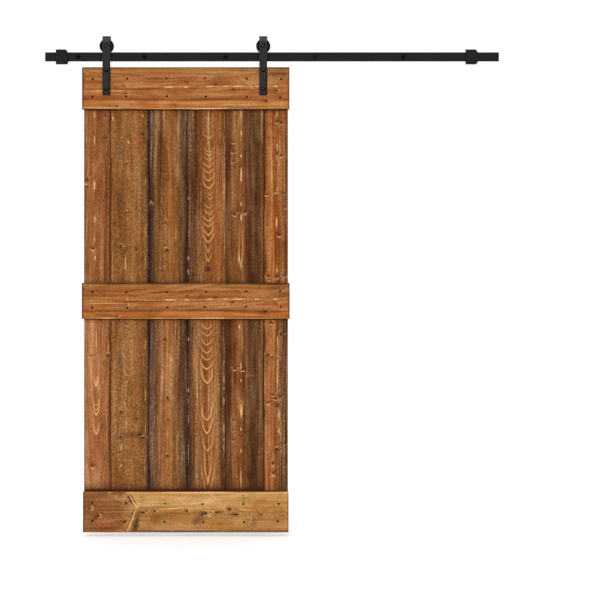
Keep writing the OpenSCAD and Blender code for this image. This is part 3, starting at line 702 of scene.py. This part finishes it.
            (56, 1692, 7, 0.9, 1.0, -0.6), (94, 1668, 5, 0.7, 0.9, 0.4), (40, 1756, 5, 1.4, 0.9, 0.8),
            (42, 1798, 6, 1.2, 0.9, 0.8), (96, 1768, 4, 0.8, 0.8, 0.3),
        ],
        "marks": [
            *dashes(58, 3.0, ((207, 18), (350, 24), (540, 9), (900, 20)), CREAM, 0.8),
            *dashes(56, 4.2, ((690, 34),), CREAM, 0.95),
            *dashes(60, 3.2, ((1215, 34), (1380, 40)), CREAM, 0.75),
            *dashes(66, 4.0, ((1540, 30), (1612, 16)), CREAM, 0.8), (80, 500, 24, 120, PALE, 0.2),
            (90, 575, 12, 22, GREEN_GREY, 0.6), (94, 628, 9, 4, PALE, 0.8),
            (82, 1150, 12, 3, CRACK, 0.6, -0.3, 0.2), (66, 1480, 24, 26, GREEN_GREY, 0.5),
            (66, 1720, 12, 24, GREEN_GREY, 0.6), (64, 1430, 2.0, 120, CRACK, 0.5, 0.03, 0.2),
            (30, 1745, 26, 3, PALE, 0.6, 0, 0.2), (30, 1815, 26, 3, PALE, 0.5, 0, 0.2),
            (72, 300, 1.8, 80, CRACK, 0.45, 0, 0.2), (70, 480, 1.8, 90, CRACK, 0.4, 0, 0.2),
            (60, 1000, 1.8, 60, CRACK, 0.4, 0, 0.2),
        ],
    },
}


def lens(across, along, half, width=5.6):
    """A pale pointed lens of growth with a dark outline."""
    return [(across, along, width * 1.9, half * 1.5, shade(128, 72, 32), 0.7, 0, 0.5),
            (across, along, width, half * 1.2, CREAM, 0.95, 0, SOFT)]


def honey_bands(height):
    """The upper battens' colours, from the top edge down; drawn for 187 mm and fitted to the height."""
    # The dark colours at the top and bottom edges are painted shade on the eased edges, and the pale band
    # at 182 is a painted highlight along the lower bevel.
    drawn = [(0, (84, 62, 40)), (7, (122, 88, 54)), (12, (168, 112, 61)), (26, (164, 106, 57)),
             (48, (160, 102, 56)), (66, (164, 104, 57)), (82, (172, 112, 60)), (97, (160, 102, 55)),
             (112, (168, 108, 60)), (132, (162, 103, 56)), (144, (150, 94, 49)), (154, (182, 119, 65)),
             (170, (178, 114, 61)), (178, (160, 100, 52)), (182, (196, 140, 84)), (185, (150, 98, 54)),
             (187, (84, 46, 24))]
    return [(place * height / 187, colour) for place, colour in drawn]


def honey_look(height, length, seed):
    """The top and middle battens were cut from one length, so they share a figure."""
    k = height / 187
    row = 88 * k
    lenses = []
    for along, half in ((388, 34), (462, 12), (568, 32), (640, 22), (692, 40), (776, 14), (857, 13)):
        lenses += lens(row if along < 500 else row - 3, along, half)
    return {
        "seed": seed, "stain": 1.10,
        "bands": honey_bands(height),
        "contrast": (0.85, 0.75, 0.20, 0.75, 0.70),
        "knots": [
            (149 * k, 815, 4, 2.4, 1.0, 0.3), (67 * k, 468, 3, 1.8, 0.9, 0.3),
            (116 * k, 196, 5, 1.4, 0.4, 0.6), (172 * k, 157, 4, 1.6, 0.7, 0.5),
            (84 * k, 190, 4, 1.6, 0.3, 0.7), (104 * k, 860, 5, 1.6, 0.4, 0.5),
            (76 * k, 590, 3, 2.4, 0.8, 0.0), (100 * k, 668, 3, 2.4, 0.8, 0.0),
        ],
        "marks": [
            *lenses, (86 * k, 620, 2.4, 250, PALE, 0.7, 0.006, 0.2),
            (84 * k, 440, 2.2, 60, PALE, 0.6, 0.02, 0.2),
            (97 * k, 240, 3.0, 190, SOAKED, 0.75, -0.012, 0.3), (105 * k, 120, 2.6, 130, CREAM, 0.7),
            (86 * k, 250, 2.2, 110, PALE, 0.75, -0.03, 0.3), (92 * k, 60, 2.4, 60, PALE, 0.8),
            (80 * k, 360, 2.6, 70, SOAKED, 0.6, -0.08, 0.3),
            (82 * k, 520, 2.2, 90, SOAKED, 0.6, 0.02, 0.3),
            (97 * k, 520, 2.4, 60, SOAKED, 0.6, 0.04, 0.3),
            (100 * k, 700, 2.4, 120, SOAKED, 0.55, -0.01, 0.3),
            (78 * k, 790, 2.4, 90, SOAKED, 0.5, 0.02, 0.3),
            (98 * k, 620, 2.0, 70, PALE, 0.6, -0.04, 0.3), (36 * k, 250, 3.0, 90, SOAKED, 0.5, 0, 0.2),
            (50 * k, 360, 3.0, 150, SOAKED, 0.45, -0.03, 0.2),
            (42 * k, 290, 3.0, 60, PALE, 0.5, 0, 0.2), (60 * k, 330, 3.0, 90, PALE, 0.35, -0.02, 0.2),
            (70 * k, 640, 3.0, 170, SOAKED, 0.35, 0.01, 0.2),
            (34 * k, 640, 3.0, 90, PALE, 0.5, 0, 0.2), (62 * k, 722, 1.7, 56, CREAM, 0.55, 0.93, 0.2),
            (30 * k, 868, 30, 60, SOAKED, 0.45), (142 * k, 240, 6.0, 90, SOAKED, 0.45, 0, 0.1),
            (143 * k, 600, 6.0, 170, SOAKED, 0.55, 0, 0.1),
            (168 * k, 110, 12.0, 60, shade(140, 82, 40), 0.6, 0.1, 0.1),
            # The pale marks at 182 and 183 across are a painted highlight along the lower bevel.
            (156 * k, 420, 8.0, 150, GOLD, 0.35, 0, 0.1), (182 * k, 110, 2.2, 70, CREAM, 0.7),
            (182 * k, 340, 2.0, 60, CREAM, 0.5), (183 * k, 560, 2.6, 110, CREAM, 0.9),
            (182 * k, 800, 2.0, 90, PALE, 0.8), (178 * k, 720, 1.8, 190, CRACK, 0.45),
            (30 * k, 5, 5, 13, CRACK, 0.95, 0.4, 0.3), (56 * k, 6, 6, 10, CRACK, 0.9, 0, 0.2),
            (84 * k, 4, 4, 9, CRACK, 0.8, 0, 0.2), (16 * k, 24, 4, 16, CRACK, 0.5, 0, 0.2),
            # painted shade at the batten's two ends
            (90, 0, 200, 9, EDGE_SHADE, 0.9, 0, 0.4), (90, length, 200, 8, EDGE_SHADE, 0.8, 0, 0.4),
            (120 * k, 50, 90, 40, GOLD, 0.3, 0, 0.0),
            (110 * k, length - 26, 60, 26, GOLD, 0.4, 0, 0.0),
            (46 * k, length - 30, 30, 30, shade(136, 88, 48), 0.5, 0, 0.0),
        ],
    }


BOTTOM_LOOK = {
    "seed": 41.0, "stain": 1.02,
    "bands": [
        # The pale band at 3 is a painted highlight along the upper bevel, and the dark colours at 180 are
        # painted shade on the lower eased edge.
        (0, (150, 104, 62)), (3, (226, 174, 116)), (8, (202, 152, 94)), (14, (183, 134, 77)),
        (44, (187, 140, 83)), (76, (185, 138, 82)), (92, (169, 122, 71)), (118, (173, 128, 75)),
        (150, (175, 128, 73)), (168, (161, 115, 65)), (176, (132, 92, 54)), (180, (86, 60, 38)),
    ],
    "contrast": (0.60, 0.60, 0.12, 0.90, 1.10),
    "knots": [
        (106, 66, 6, 1.2, 0.9, 0.7), (114, 60, 5, 1.0, 0.6, 0.0), (74, 30, 7, 1.2, 0.3, 0.6),
        (92, 267, 4, 2.0, 1.0, 0.6), (84, 281, 3, 1.4, 1.0, 0.4), (86, 318, 4, 1.8, 0.7, 0.8),
        (84, 460, 4, 1.6, 0.9, 0.8), (96, 540, 6, 2.2, 1.0, 0.8), (102, 528, 5, 1.4, 0.9, 0.9),
        (90, 596, 4, 3.4, 0.9, -0.8), (92, 566, 3, 3.0, 0.8, -0.6), (77, 650, 5, 1.6, 1.0, 0.5),
        (70, 640, 6, 1.4, 0.3, -0.9), (100, 676, 4, 3.4, 1.0, 0.5), (98, 790, 4, 1.8, 0.8, 0.5),
        (90, 778, 3, 2.0, 0.5, 0.6),
    ],
    "marks": [
        (95, 30, 190, 215, shade(131, 80, 41), 0.95, 0, 0.6), (84, 130, 3.0, 90, SOAKED, 0.45, 0, 0.2),
        (52, 160, 22, 60, shade(116, 70, 36), 0.6, 0.2, 0.1),
        (130, 90, 30, 60, shade(160, 94, 54), 0.6), (118, 50, 16, 26, PURPLE, 0.55, -1.2, 0.1),
        (88, 140, 2.2, 80, PALE, 0.6, -0.02, 0.3),
        (140, 236, 60, 30, shade(80, 58, 40), 0.95, -2.0, 0.1),
        (34, 221, 12, 26, shade(92, 52, 26), 0.9, 1.30, 0.3),
        (38, 219, 6.0, 25, CREAM, 1.0, 1.75, 0.4), (44, 199, 5.0, 32, PALE, 0.9, 1.35, 0.4),
        (42, 213, 7.0, 26, CRACK, 0.9, 1.70, 0.4), (60, 210, 3.4, 22, CRACK, 0.7, 1.35, 0.3),
        (126, 216, 8.5, 28, CREAM, 1.0, -2.60, 0.4),
        (112, 213, 6.0, 20, shade(110, 70, 34), 0.8, -2.1, 0.3),
        (136, 206, 5.0, 18, shade(112, 72, 36), 0.7, -2.4, 0.3),
        (126, 202, 4.0, 18, PALE, 0.7, -2.0, 0.3), (96, 208, 3.4, 26, PALE, 0.6, -1.3, 0.3),
        (30, 262, 30, 20, shade(160, 106, 56), 0.7), (74, 400, 3.6, 75, CREAM, 0.85, -0.08, 0.25),
        (81, 400, 3.0, 85, shade(140, 92, 48), 0.7, -0.08, 0.25),
        (76, 470, 3.4, 14, CREAM, 0.7, 0.5, 0.3),
        (124, 508, 34, 42, shade(120, 82, 58), 0.85, -0.4, 0.0),
        (126, 320, 34, 44, shade(142, 96, 56), 0.6), (130, 400, 30, 50, GOLD, 0.4),
        (84, 560, 3.0, 56, CREAM, 0.8, 0.05, 0.3), (106, 556, 6, 16, CREAM, 0.8, 0.3, 0.3),
        (80, 720, 3.6, 44, CREAM, 0.6, 0.12, 0.2),
        (88, 720, 3.4, 60, shade(140, 96, 52), 0.7, 0.04, 0.2),
        (18, 708, 9, 4.0, CRACK, 0.85, 0.6, 0.2), (30, 714, 10, 3.0, CRACK, 0.85, 1.2, 0.2),
        (44, 711, 14, 3.0, SOAKED, 0.8, 0, 0.2),
        (144, 757, 40, 20, shade(140, 98, 74), 0.8, -0.8, 0.0),
        (128, 741, 8, 11, shade(214, 166, 104), 0.7, -3.0, 0.3),
        (130, 690, 30, 30, shade(206, 158, 98), 0.5), (40, 560, 26, 60, shade(204, 152, 84), 0.6),
        (34, 420, 22, 60, shade(204, 150, 82), 0.5), (36, 330, 22, 30, shade(196, 144, 80), 0.5),
        (120, 860, 40, 50, shade(160, 112, 70), 0.55), (150, 600, 20, 90, GOLD, 0.35),
        # the last two marks are painted shade at the batten's two ends
        (108, 880, 8, 24, SOAKED, 0.4, 0, 0.1), (90, 0, 200, 10, EDGE_SHADE, 0.85, 0, 0.4),
        (90, 912, 200, 8, EDGE_SHADE, 0.8, 0, 0.4),
    ],
}


ALL_ACROSS = 900             # half width of a line that crosses any plank
DARKENING_REACH = 50                    # how far above the bottom batten the planks grow darker


def batten_edge_stain_and_shade(node):
    """Darker lines on a plank along the edges of the battens: painted shade where the battens meet the
    planks, with some pooled stain.
    """
    low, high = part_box(node)
    middle = (high[0] - low[0]) / 2 / MM
    least, most = 0, 1           # which corner of a batten's box its edge is taken from
    last = node == "plank_6"     # the last plank's foot darkens hardly at all

    def below_top(batten, corner):
        return (high[2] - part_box(batten + "_batten")[corner][2]) / MM

    foot = 5 if last else 17
    # dark lines of painted shade, with some pooled stain, below the top and middle battens and above the
    # bottom batten
    edges_to_darken = (("top", least, 5, 0.85), ("middle", least, 6, 0.92), ("bottom", most, foot, 0.92))
    lines = [(middle, below_top(batten, corner), ALL_ACROSS, half, POOLED_STAIN_AND_SHADE, strength, 0, 0.35)
             for batten, corner, half, strength in edges_to_darken]
    # and a broader darkening above the bottom batten
    darkening = 0.2 if last else 0.70
    lines.append((middle, below_top("bottom", most), ALL_ACROSS, DARKENING_REACH, SOAKED, darkening, 0, 0.0))
    return lines


# ------------------------------------------------------------------ metal finishes, and painted shade and highlights on the hardware


PEEL = 700                   # how finely each pattern repeats
DUST_PATCHES = 30
SCUFFS = 900
TARNISH = 120
METAL_BUMP = 0.25
DUSTING = 0.06


def coat_group():
    """The fine orange peel of a sprayed coat, with a little dust in it."""
    group, come, leave = new_group(
        "sprayed coat",
        ["Place", "Colour", "Dust", "Dusting", "Roughness"],
        ["Colour", "Roughness", "Height"],
    )
    peel = noise(group, come["Place"], detail=1.0, scale=PEEL)
    patches = noise(group, come["Place"], detail=3.0, scale=DUST_PATCHES)
    dusted = maths(group, "MULTIPLY", fade(group, patches, 0.45, 0.75), come["Dusting"])
    feed(group, leave, {
        "Colour": mixed(group, dusted, come["Colour"], come["Dust"]),
        "Roughness": maths(group, "MULTIPLY_ADD", patches, 0.16, come["Roughness"]),
        "Height": peel,
    })
    return group


def turned_group():
    """Fine marks left by grinding or turning."""
    group, come, leave = new_group(
        "ground metal",
        ["Place", "Colour", "Roughness"],
        ["Colour", "Roughness", "Height"],
    )
    scuffs = noise(group, come["Place"], detail=3.0, scale=SCUFFS)
    stain = noise(group, come["Place"], detail=2.0, scale=TARNISH)
    darker = mixed(group, 1.0, come["Colour"], shade(190, 186, 180), blend="MULTIPLY")
    feed(group, leave, {
        "Colour": mixed(group, fade(group, stain, 0.35, 0.7), come["Colour"], darker),
        "Roughness": maths(group, "MULTIPLY_ADD", scuffs, 0.2, come["Roughness"]),
        "Height": scuffs,
    })
    return group


COAT = coat_group()
GROUND = turned_group()


def metal(name, group, colour, roughness, gloss, metallic, relief, extra=None, tinted=None):
    """A metal finish; tinted, if given, changes the colour from place to place."""
    material = bpy.data.materials.new(name)
    material.use_nodes = True
    tree = material.node_tree
    place = add(tree, "TexCoord").outputs["Object"]
    values = {"Place": place, "Colour": tinted(tree, place, colour) if tinted else colour,
              "Roughness": roughness}
    values.update(extra or {})
    finish = use(tree, group, values)
    bump = add(tree, "Bump", {"Strength": METAL_BUMP, "Distance": relief, "Height": finish["Height"]})
    shader = tree.nodes["Principled BSDF"]
    feed(tree, shader, {"Base Color": finish["Colour"], "Roughness": finish["Roughness"],
                        "Normal": bump.outputs[0]})
    shader.inputs["Specular IOR Level"].default_value = gloss
    shader.inputs["Metallic"].default_value = metallic
    return material


def coat(name, colour, roughness, gloss, tinted=None):
    extra = {"Dust": shade(70, 69, 68), "Dusting": DUSTING}
    return metal(name, COAT, colour, roughness, gloss, 0.0, 0.00001, extra, tinted)


FINISHES = {
    "black_steel": coat("black_steel", shade(24, 24, 25), 0.55, 0.12),
    "black_bolt": coat("black_bolt", shade(6, 6, 8), 0.25, 0.07),
    "screw_black": coat("screw_black", shade(26, 4, 3), 0.50, 0.03),
    "wheel_steel": coat("wheel_steel", shade(12, 12, 13), 0.42, 0.10),
    "bearing_steel": metal("bearing_steel", GROUND, shade(196, 196, 198), 0.22, 0.5, 1.0, 0.00002),
    "cage_brass": metal("cage_brass", GROUND, shade(204, 176, 116), 0.26, 0.5, 1.0, 0.00002),
}


def middle_of(node):
    """The middle of a node's box."""
    low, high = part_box(node)
    return [(least + most) / 2 for least, most in zip(low, high)]


def strap_coat_and_painted_light(side):
    """The strap's coat with painted light: painted shade at the hook's crown, the foot and the right edge,
    and a painted highlight on the bend between.
    """
    low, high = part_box("hanger_strap_" + side)

    def tinted(tree, place, colour):
        spot = add(tree, "SeparateXYZ", {0: place}).outputs
        from_top = maths(tree, "SUBTRACT", high[2], spot["Z"])
        from_right = maths(tree, "SUBTRACT", high[0], spot["X"])
        # painted shade at the crown, the foot and the right edge below the hook; a painted highlight on
        # the bend
        crown = fade(tree, from_top, 9 * MM, 6 * MM)
        bend = fade(tree, from_top, 34 * MM, 10 * MM)
        foot = fade(tree, maths(tree, "SUBTRACT", spot["Z"], low[2]), 8 * MM, 2 * MM)
        below_hook = fade(tree, spot["Z"], -10 * MM, -50 * MM)
        edge = maths(tree, "MULTIPLY", fade(tree, from_right, 8 * MM, 3 * MM), below_hook)
        lighter = mixed(tree, bend, colour, shade(66, 66, 66))
        dark = maths(tree, "MAXIMUM", crown, maths(tree, "MAXIMUM", foot, edge))
        return mixed(tree, dark, lighter, shade(8, 6, 8))

    return coat("black_steel_strap_" + side, shade(38, 38, 38), 0.55, 0.14, tinted)


def coat_with_painted_highlight(name, colour, highlight_colour, middles, start, stop):
    """A black coat with a painted highlight that lightens it round some points, each (x, z)."""

    def tinted(tree, place, coating):
        spot = add(tree, "SeparateXYZ", {0: place}).outputs
        # painted highlight: lighter towards each point
        highlight_mask = 0.0
        for middle_x, middle_z in middles:
            x = maths(tree, "SUBTRACT", spot["X"], middle_x)
            z = maths(tree, "SUBTRACT", spot["Z"], middle_z)
            near = fade(tree, distance(tree, x, z), start, stop)
            highlight_mask = maths(tree, "MAXIMUM", highlight_mask, near)
        return mixed(tree, highlight_mask, coating, highlight_colour)

    return coat(name, colour, 0.35, 0.05, tinted)


def axle_coat_and_highlight(side):
    """A black bolt with a painted highlight, a lighter grey spot, at its middle."""
    x, _, z = middle_of("axle_bolt_" + side)
    return coat_with_painted_highlight("black_axle_" + side, shade(4, 4, 5), shade(74, 73, 72), [(x, z)], 5 * MM, 3 * MM)


def bolt_coat_and_highlight(side):
    """Black domed bolts, each with a painted highlight a little above its dome's middle."""
    low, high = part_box("hanger_bolts_" + side)
    head = (high[0] - low[0]) / 2
    x = (low[0] + high[0]) / 2
    # painted highlights, a little above the middle of each dome
    highlight_rise = 0.3 * head
    highlight_spots = [(x, high[2] - head + highlight_rise), (x, low[2] + head + highlight_rise)]
    return coat_with_painted_highlight("black_bolt_" + side, shade(3, 3, 5), shade(86, 86, 98), highlight_spots,
                       0.50 * head, 0.15 * head)


# ------------------------------------------------------------------ pieces


WELD = 0.002 * MM            # corners nearer than this are one corner
FLAT = math.radians(0.3)     # facets nearer to level than this are one face
SMOOTH_BELOW = math.radians(35)
EASED_ABOVE = math.radians(28)


def merged_copy(node):
    """A merged copy of a CAD node's mesh, to work on."""
    bm = bmesh.new()
    bm.from_mesh(frame["nodes"][node].data)
    bmesh.ops.remove_doubles(bm, verts=bm.verts, dist=WELD)
    return bm


def stand_in(bm, name, node, slot, material):
    """Turn a bmesh into a finished piece that stands in for a CAD node and rides on its body."""
    bmesh.ops.recalc_face_normals(bm, faces=bm.faces)
    mesh = bpy.data.meshes.new(name)
    bm.to_mesh(mesh)
    bm.free()
    mesh.materials.append(material)
    for face in mesh.polygons:
        face.use_smooth = True
    mesh.set_sharp_from_angle(angle=SMOOTH_BELOW)
    piece = bpy.data.objects.new(name, mesh)
    bpy.context.scene.collection.objects.link(piece)
    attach(piece, frame["nodes"][node]["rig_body"])
    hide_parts(node)


def softened(node, slot, material, width):
    """The CAD node's own shape with its sharp edges eased by the width, if there is one."""
    bm = merged_copy(node)
    bmesh.ops.dissolve_limit(bm, angle_limit=FLAT, verts=bm.verts, edges=bm.edges)
    if width:
        edges = [edge for edge in bm.edges
                 if len(edge.link_faces) == 2 and edge.calc_face_angle(0) > EASED_ABOVE]
        bmesh.ops.bevel(bm, geom=edges, offset=width, offset_type="OFFSET", segments=2,
                        profile=0.5, affect="EDGES", clamp_overlap=False, material=-1)
    stand_in(bm, node + "_finished", node, slot, material)


def dress(node, slot):
    """Give a CAD node the finish of its slot and leave its shape as it is."""
    mesh = frame["nodes"][node].data
    mesh.materials.clear()
    mesh.materials.append(FINISHES[slot])


def make_boards():
    for node, look in PLANKS.items():
        look = dict(look, stain_and_shade=batten_edge_stain_and_shade(node))
        softened(node, "plank_wood", timber("oiled_" + node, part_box(node), "Z", look), 0.4 * MM)
    for batten, seed in (("top_batten", 33.0), ("middle_batten", 36.0)):
        low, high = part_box(batten)
        look = honey_look((high[2] - low[2]) / MM, (high[0] - low[0]) / MM, seed)
        softened(batten, "batten_wood", timber("oiled_" + batten, (low, high), "X", look), 0.6 * MM)
    bottom = timber("oiled_bottom_batten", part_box("bottom_batten"), "X", BOTTOM_LOOK)
    softened("bottom_batten", "batten_wood", bottom, 0.6 * MM)


STANDOFFS = ["standoff_%d" % number for number in range(1, 6)]


PLAIN_THREAD = 3.9 * MM      # what stands out further than this is the plain thread
THREAD_ROOT = 2.9 * MM
THREAD_CREST = 3.98 * MM
THREAD_PITCH = 3.3 * MM
THREAD_HALF = 1.0 * MM       # half the thread's width at its foot
THREAD_SUNK = 0.1 * MM       # how far the foot is sunk into the root
THREAD_START = 1.2 * MM      # from the wall plane to the first crest
THREAD_TURNS = 11
THREAD_STEPS = 20            # round one turn


def threaded_lags():
    """The lag screws with a real helical thread in place of the plain one."""
    node = "lag_screws"
    bm = merged_copy(node)
    middles = [middle_of(standoff)[0] for standoff in STANDOFFS]
    for vert in bm.verts:
        middle = min(middles, key=lambda x: abs(x - vert.co.x))
        out = math.hypot(vert.co.x - middle, vert.co.z)
        if vert.co.y > -WELD and out > PLAIN_THREAD:
            vert.co.x = middle + (vert.co.x - middle) * THREAD_ROOT / out
            vert.co.z *= THREAD_ROOT / out
    foot = THREAD_ROOT - THREAD_SUNK
    profile = [(foot, THREAD_START - THREAD_HALF), (THREAD_CREST, THREAD_START),
               (foot, THREAD_START + THREAD_HALF)]
    for middle in middles:
        points = [bm.verts.new((middle + out, y, 0)) for out, y in profile]
        edges = [bm.edges.new(pair) for pair in zip(points, points[1:])]
        bmesh.ops.spin(bm, geom=points + edges, cent=(middle, 0, 0), axis=(0, 1, 0),
                       dvec=(0, THREAD_PITCH / THREAD_STEPS, 0), angle=math.tau * THREAD_TURNS,
                       steps=THREAD_STEPS * THREAD_TURNS)
    stand_in(bm, "lag_screws_threaded", node, "black_bolt", FINISHES["black_bolt"])


def make_hardware():
    plans = [("track", "black_steel", 0.7), ("lag_washers", "black_bolt", 0.25)]
    plans += [(standoff, "black_steel", 0.5) for standoff in STANDOFFS]
    for side in SIDES:
        plans += [("end_stop_" + side, "black_steel", 0.9), ("wheel_" + side, "wheel_steel", 0.4),
                  ("axle_nut_" + side, "black_bolt", 0.4), ("barrel_nuts_" + side, "black_bolt", 0.25)]
        softened("hanger_strap_" + side, "black_steel", strap_coat_and_painted_light(side), 0.6 * MM)
        softened("axle_bolt_" + side, "black_bolt", axle_coat_and_highlight(side), 0)
        softened("hanger_bolts_" + side, "black_bolt", bolt_coat_and_highlight(side), 0)
    for node, slot, width in plans:
        softened(node, slot, FINISHES[slot], width * MM)
    threaded_lags()
    for batten in ("top", "middle", "bottom"):
        dress(batten + "_batten_screws", "screw_black")
    for side in SIDES:
        dress("stop_set_screws_" + side, "black_bolt")
        dress("wheel_circlip_" + side, "bearing_steel")
        for part in ("outer_ring", "inner_ring", "balls", "shields"):
            dress("bearing_%s_%s" % (part, side), "bearing_steel")
        dress("bearing_cage_" + side, "cage_brass")
        dress("axle_bushes_" + side, "bearing_steel")


# ------------------------------------------------------------------ studio


FLOOR_GAP = 18 * MM          # from the floor up to the door
FLOOR_HALF = 30              # half the floor's width, in metres
FLOOR_WHITE = (0.95, 0.95, 0.95, 1)
WHITE = (1, 1, 1, 1)
FLOOR_GLOW = 0.20            # lifts the floor to the same white as the backdrop
SKY_LIGHT = 0.86             # how brightly the white surroundings light the door
SKY_EXTRA = 0.16             # and how much brighter they look themselves
LAMP_POWER = 0.8
LAMP_SPREAD = 28             # degrees
LAMP_TILT = 44
LAMP_TURN = -6


def make_floor():
    bm = bmesh.new()
    bmesh.ops.create_grid(bm, x_segments=1, y_segments=1, size=FLOOR_HALF)
    bmesh.ops.translate(bm, verts=bm.verts, vec=(0, 0, cad_box[0][2] - FLOOR_GAP))
    mesh = bpy.data.meshes.new("studio_floor")
    bm.to_mesh(mesh)
    bm.free()
    floor = bpy.data.objects.new("studio_floor", mesh)
    bpy.context.scene.collection.objects.link(floor)
    paint = bpy.data.materials.new("studio_white")
    paint.use_nodes = True
    surface = paint.node_tree.nodes["Principled BSDF"].inputs
    surface["Base Color"].default_value = FLOOR_WHITE
    surface["Roughness"].default_value = 0.9
    surface["Specular IOR Level"].default_value = 0.1
    surface["Emission Color"].default_value = WHITE
    surface["Emission Strength"].default_value = FLOOR_GLOW
    mesh.materials.append(paint)


def make_lights():
    """White surroundings and one broad soft lamp from above the camera."""
    world = bpy.data.worlds.new("studio")
    world.use_nodes = True
    bpy.context.scene.world = world
    tree = world.node_tree
    seen = add(tree, "LightPath").outputs["Is Camera Ray"]
    strength = maths(tree, "MULTIPLY_ADD", seen, SKY_EXTRA, SKY_LIGHT)
    feed(tree, tree.nodes["Background"], {"Color": WHITE, "Strength": strength})

    lamp = bpy.data.lights.new("softbox", "SUN")
    lamp.energy = LAMP_POWER
    lamp.angle = math.radians(LAMP_SPREAD)
    key = bpy.data.objects.new("softbox", lamp)
    key.rotation_euler = (math.radians(LAMP_TILT), 0, math.radians(LAMP_TURN))
    bpy.context.scene.collection.objects.link(key)
    bpy.context.scene.view_settings.view_transform = "Standard"


EYE = (330 * MM, -7430 * MM, -1078 * MM)
LENS_LENGTH = 100            # millimetres, for a sensor 36 wide


def make_camera():
    """Level with the middle of the door, square on, and far enough back to flatten the view."""
    lens_data = bpy.data.cameras.new("camera")
    lens_data.lens = LENS_LENGTH
    lens_data.sensor_width = 36
    lens_data.clip_end = 100
    camera = bpy.data.objects.new("camera", lens_data)
    camera.location = EYE
    camera.rotation_euler = (math.radians(90), 0, 0)
    bpy.context.scene.collection.objects.link(camera)
    bpy.context.scene.camera = camera


make_camera()
make_boards()
make_hardware()
make_floor()
make_lights()

bpy.context.view_layer.update()
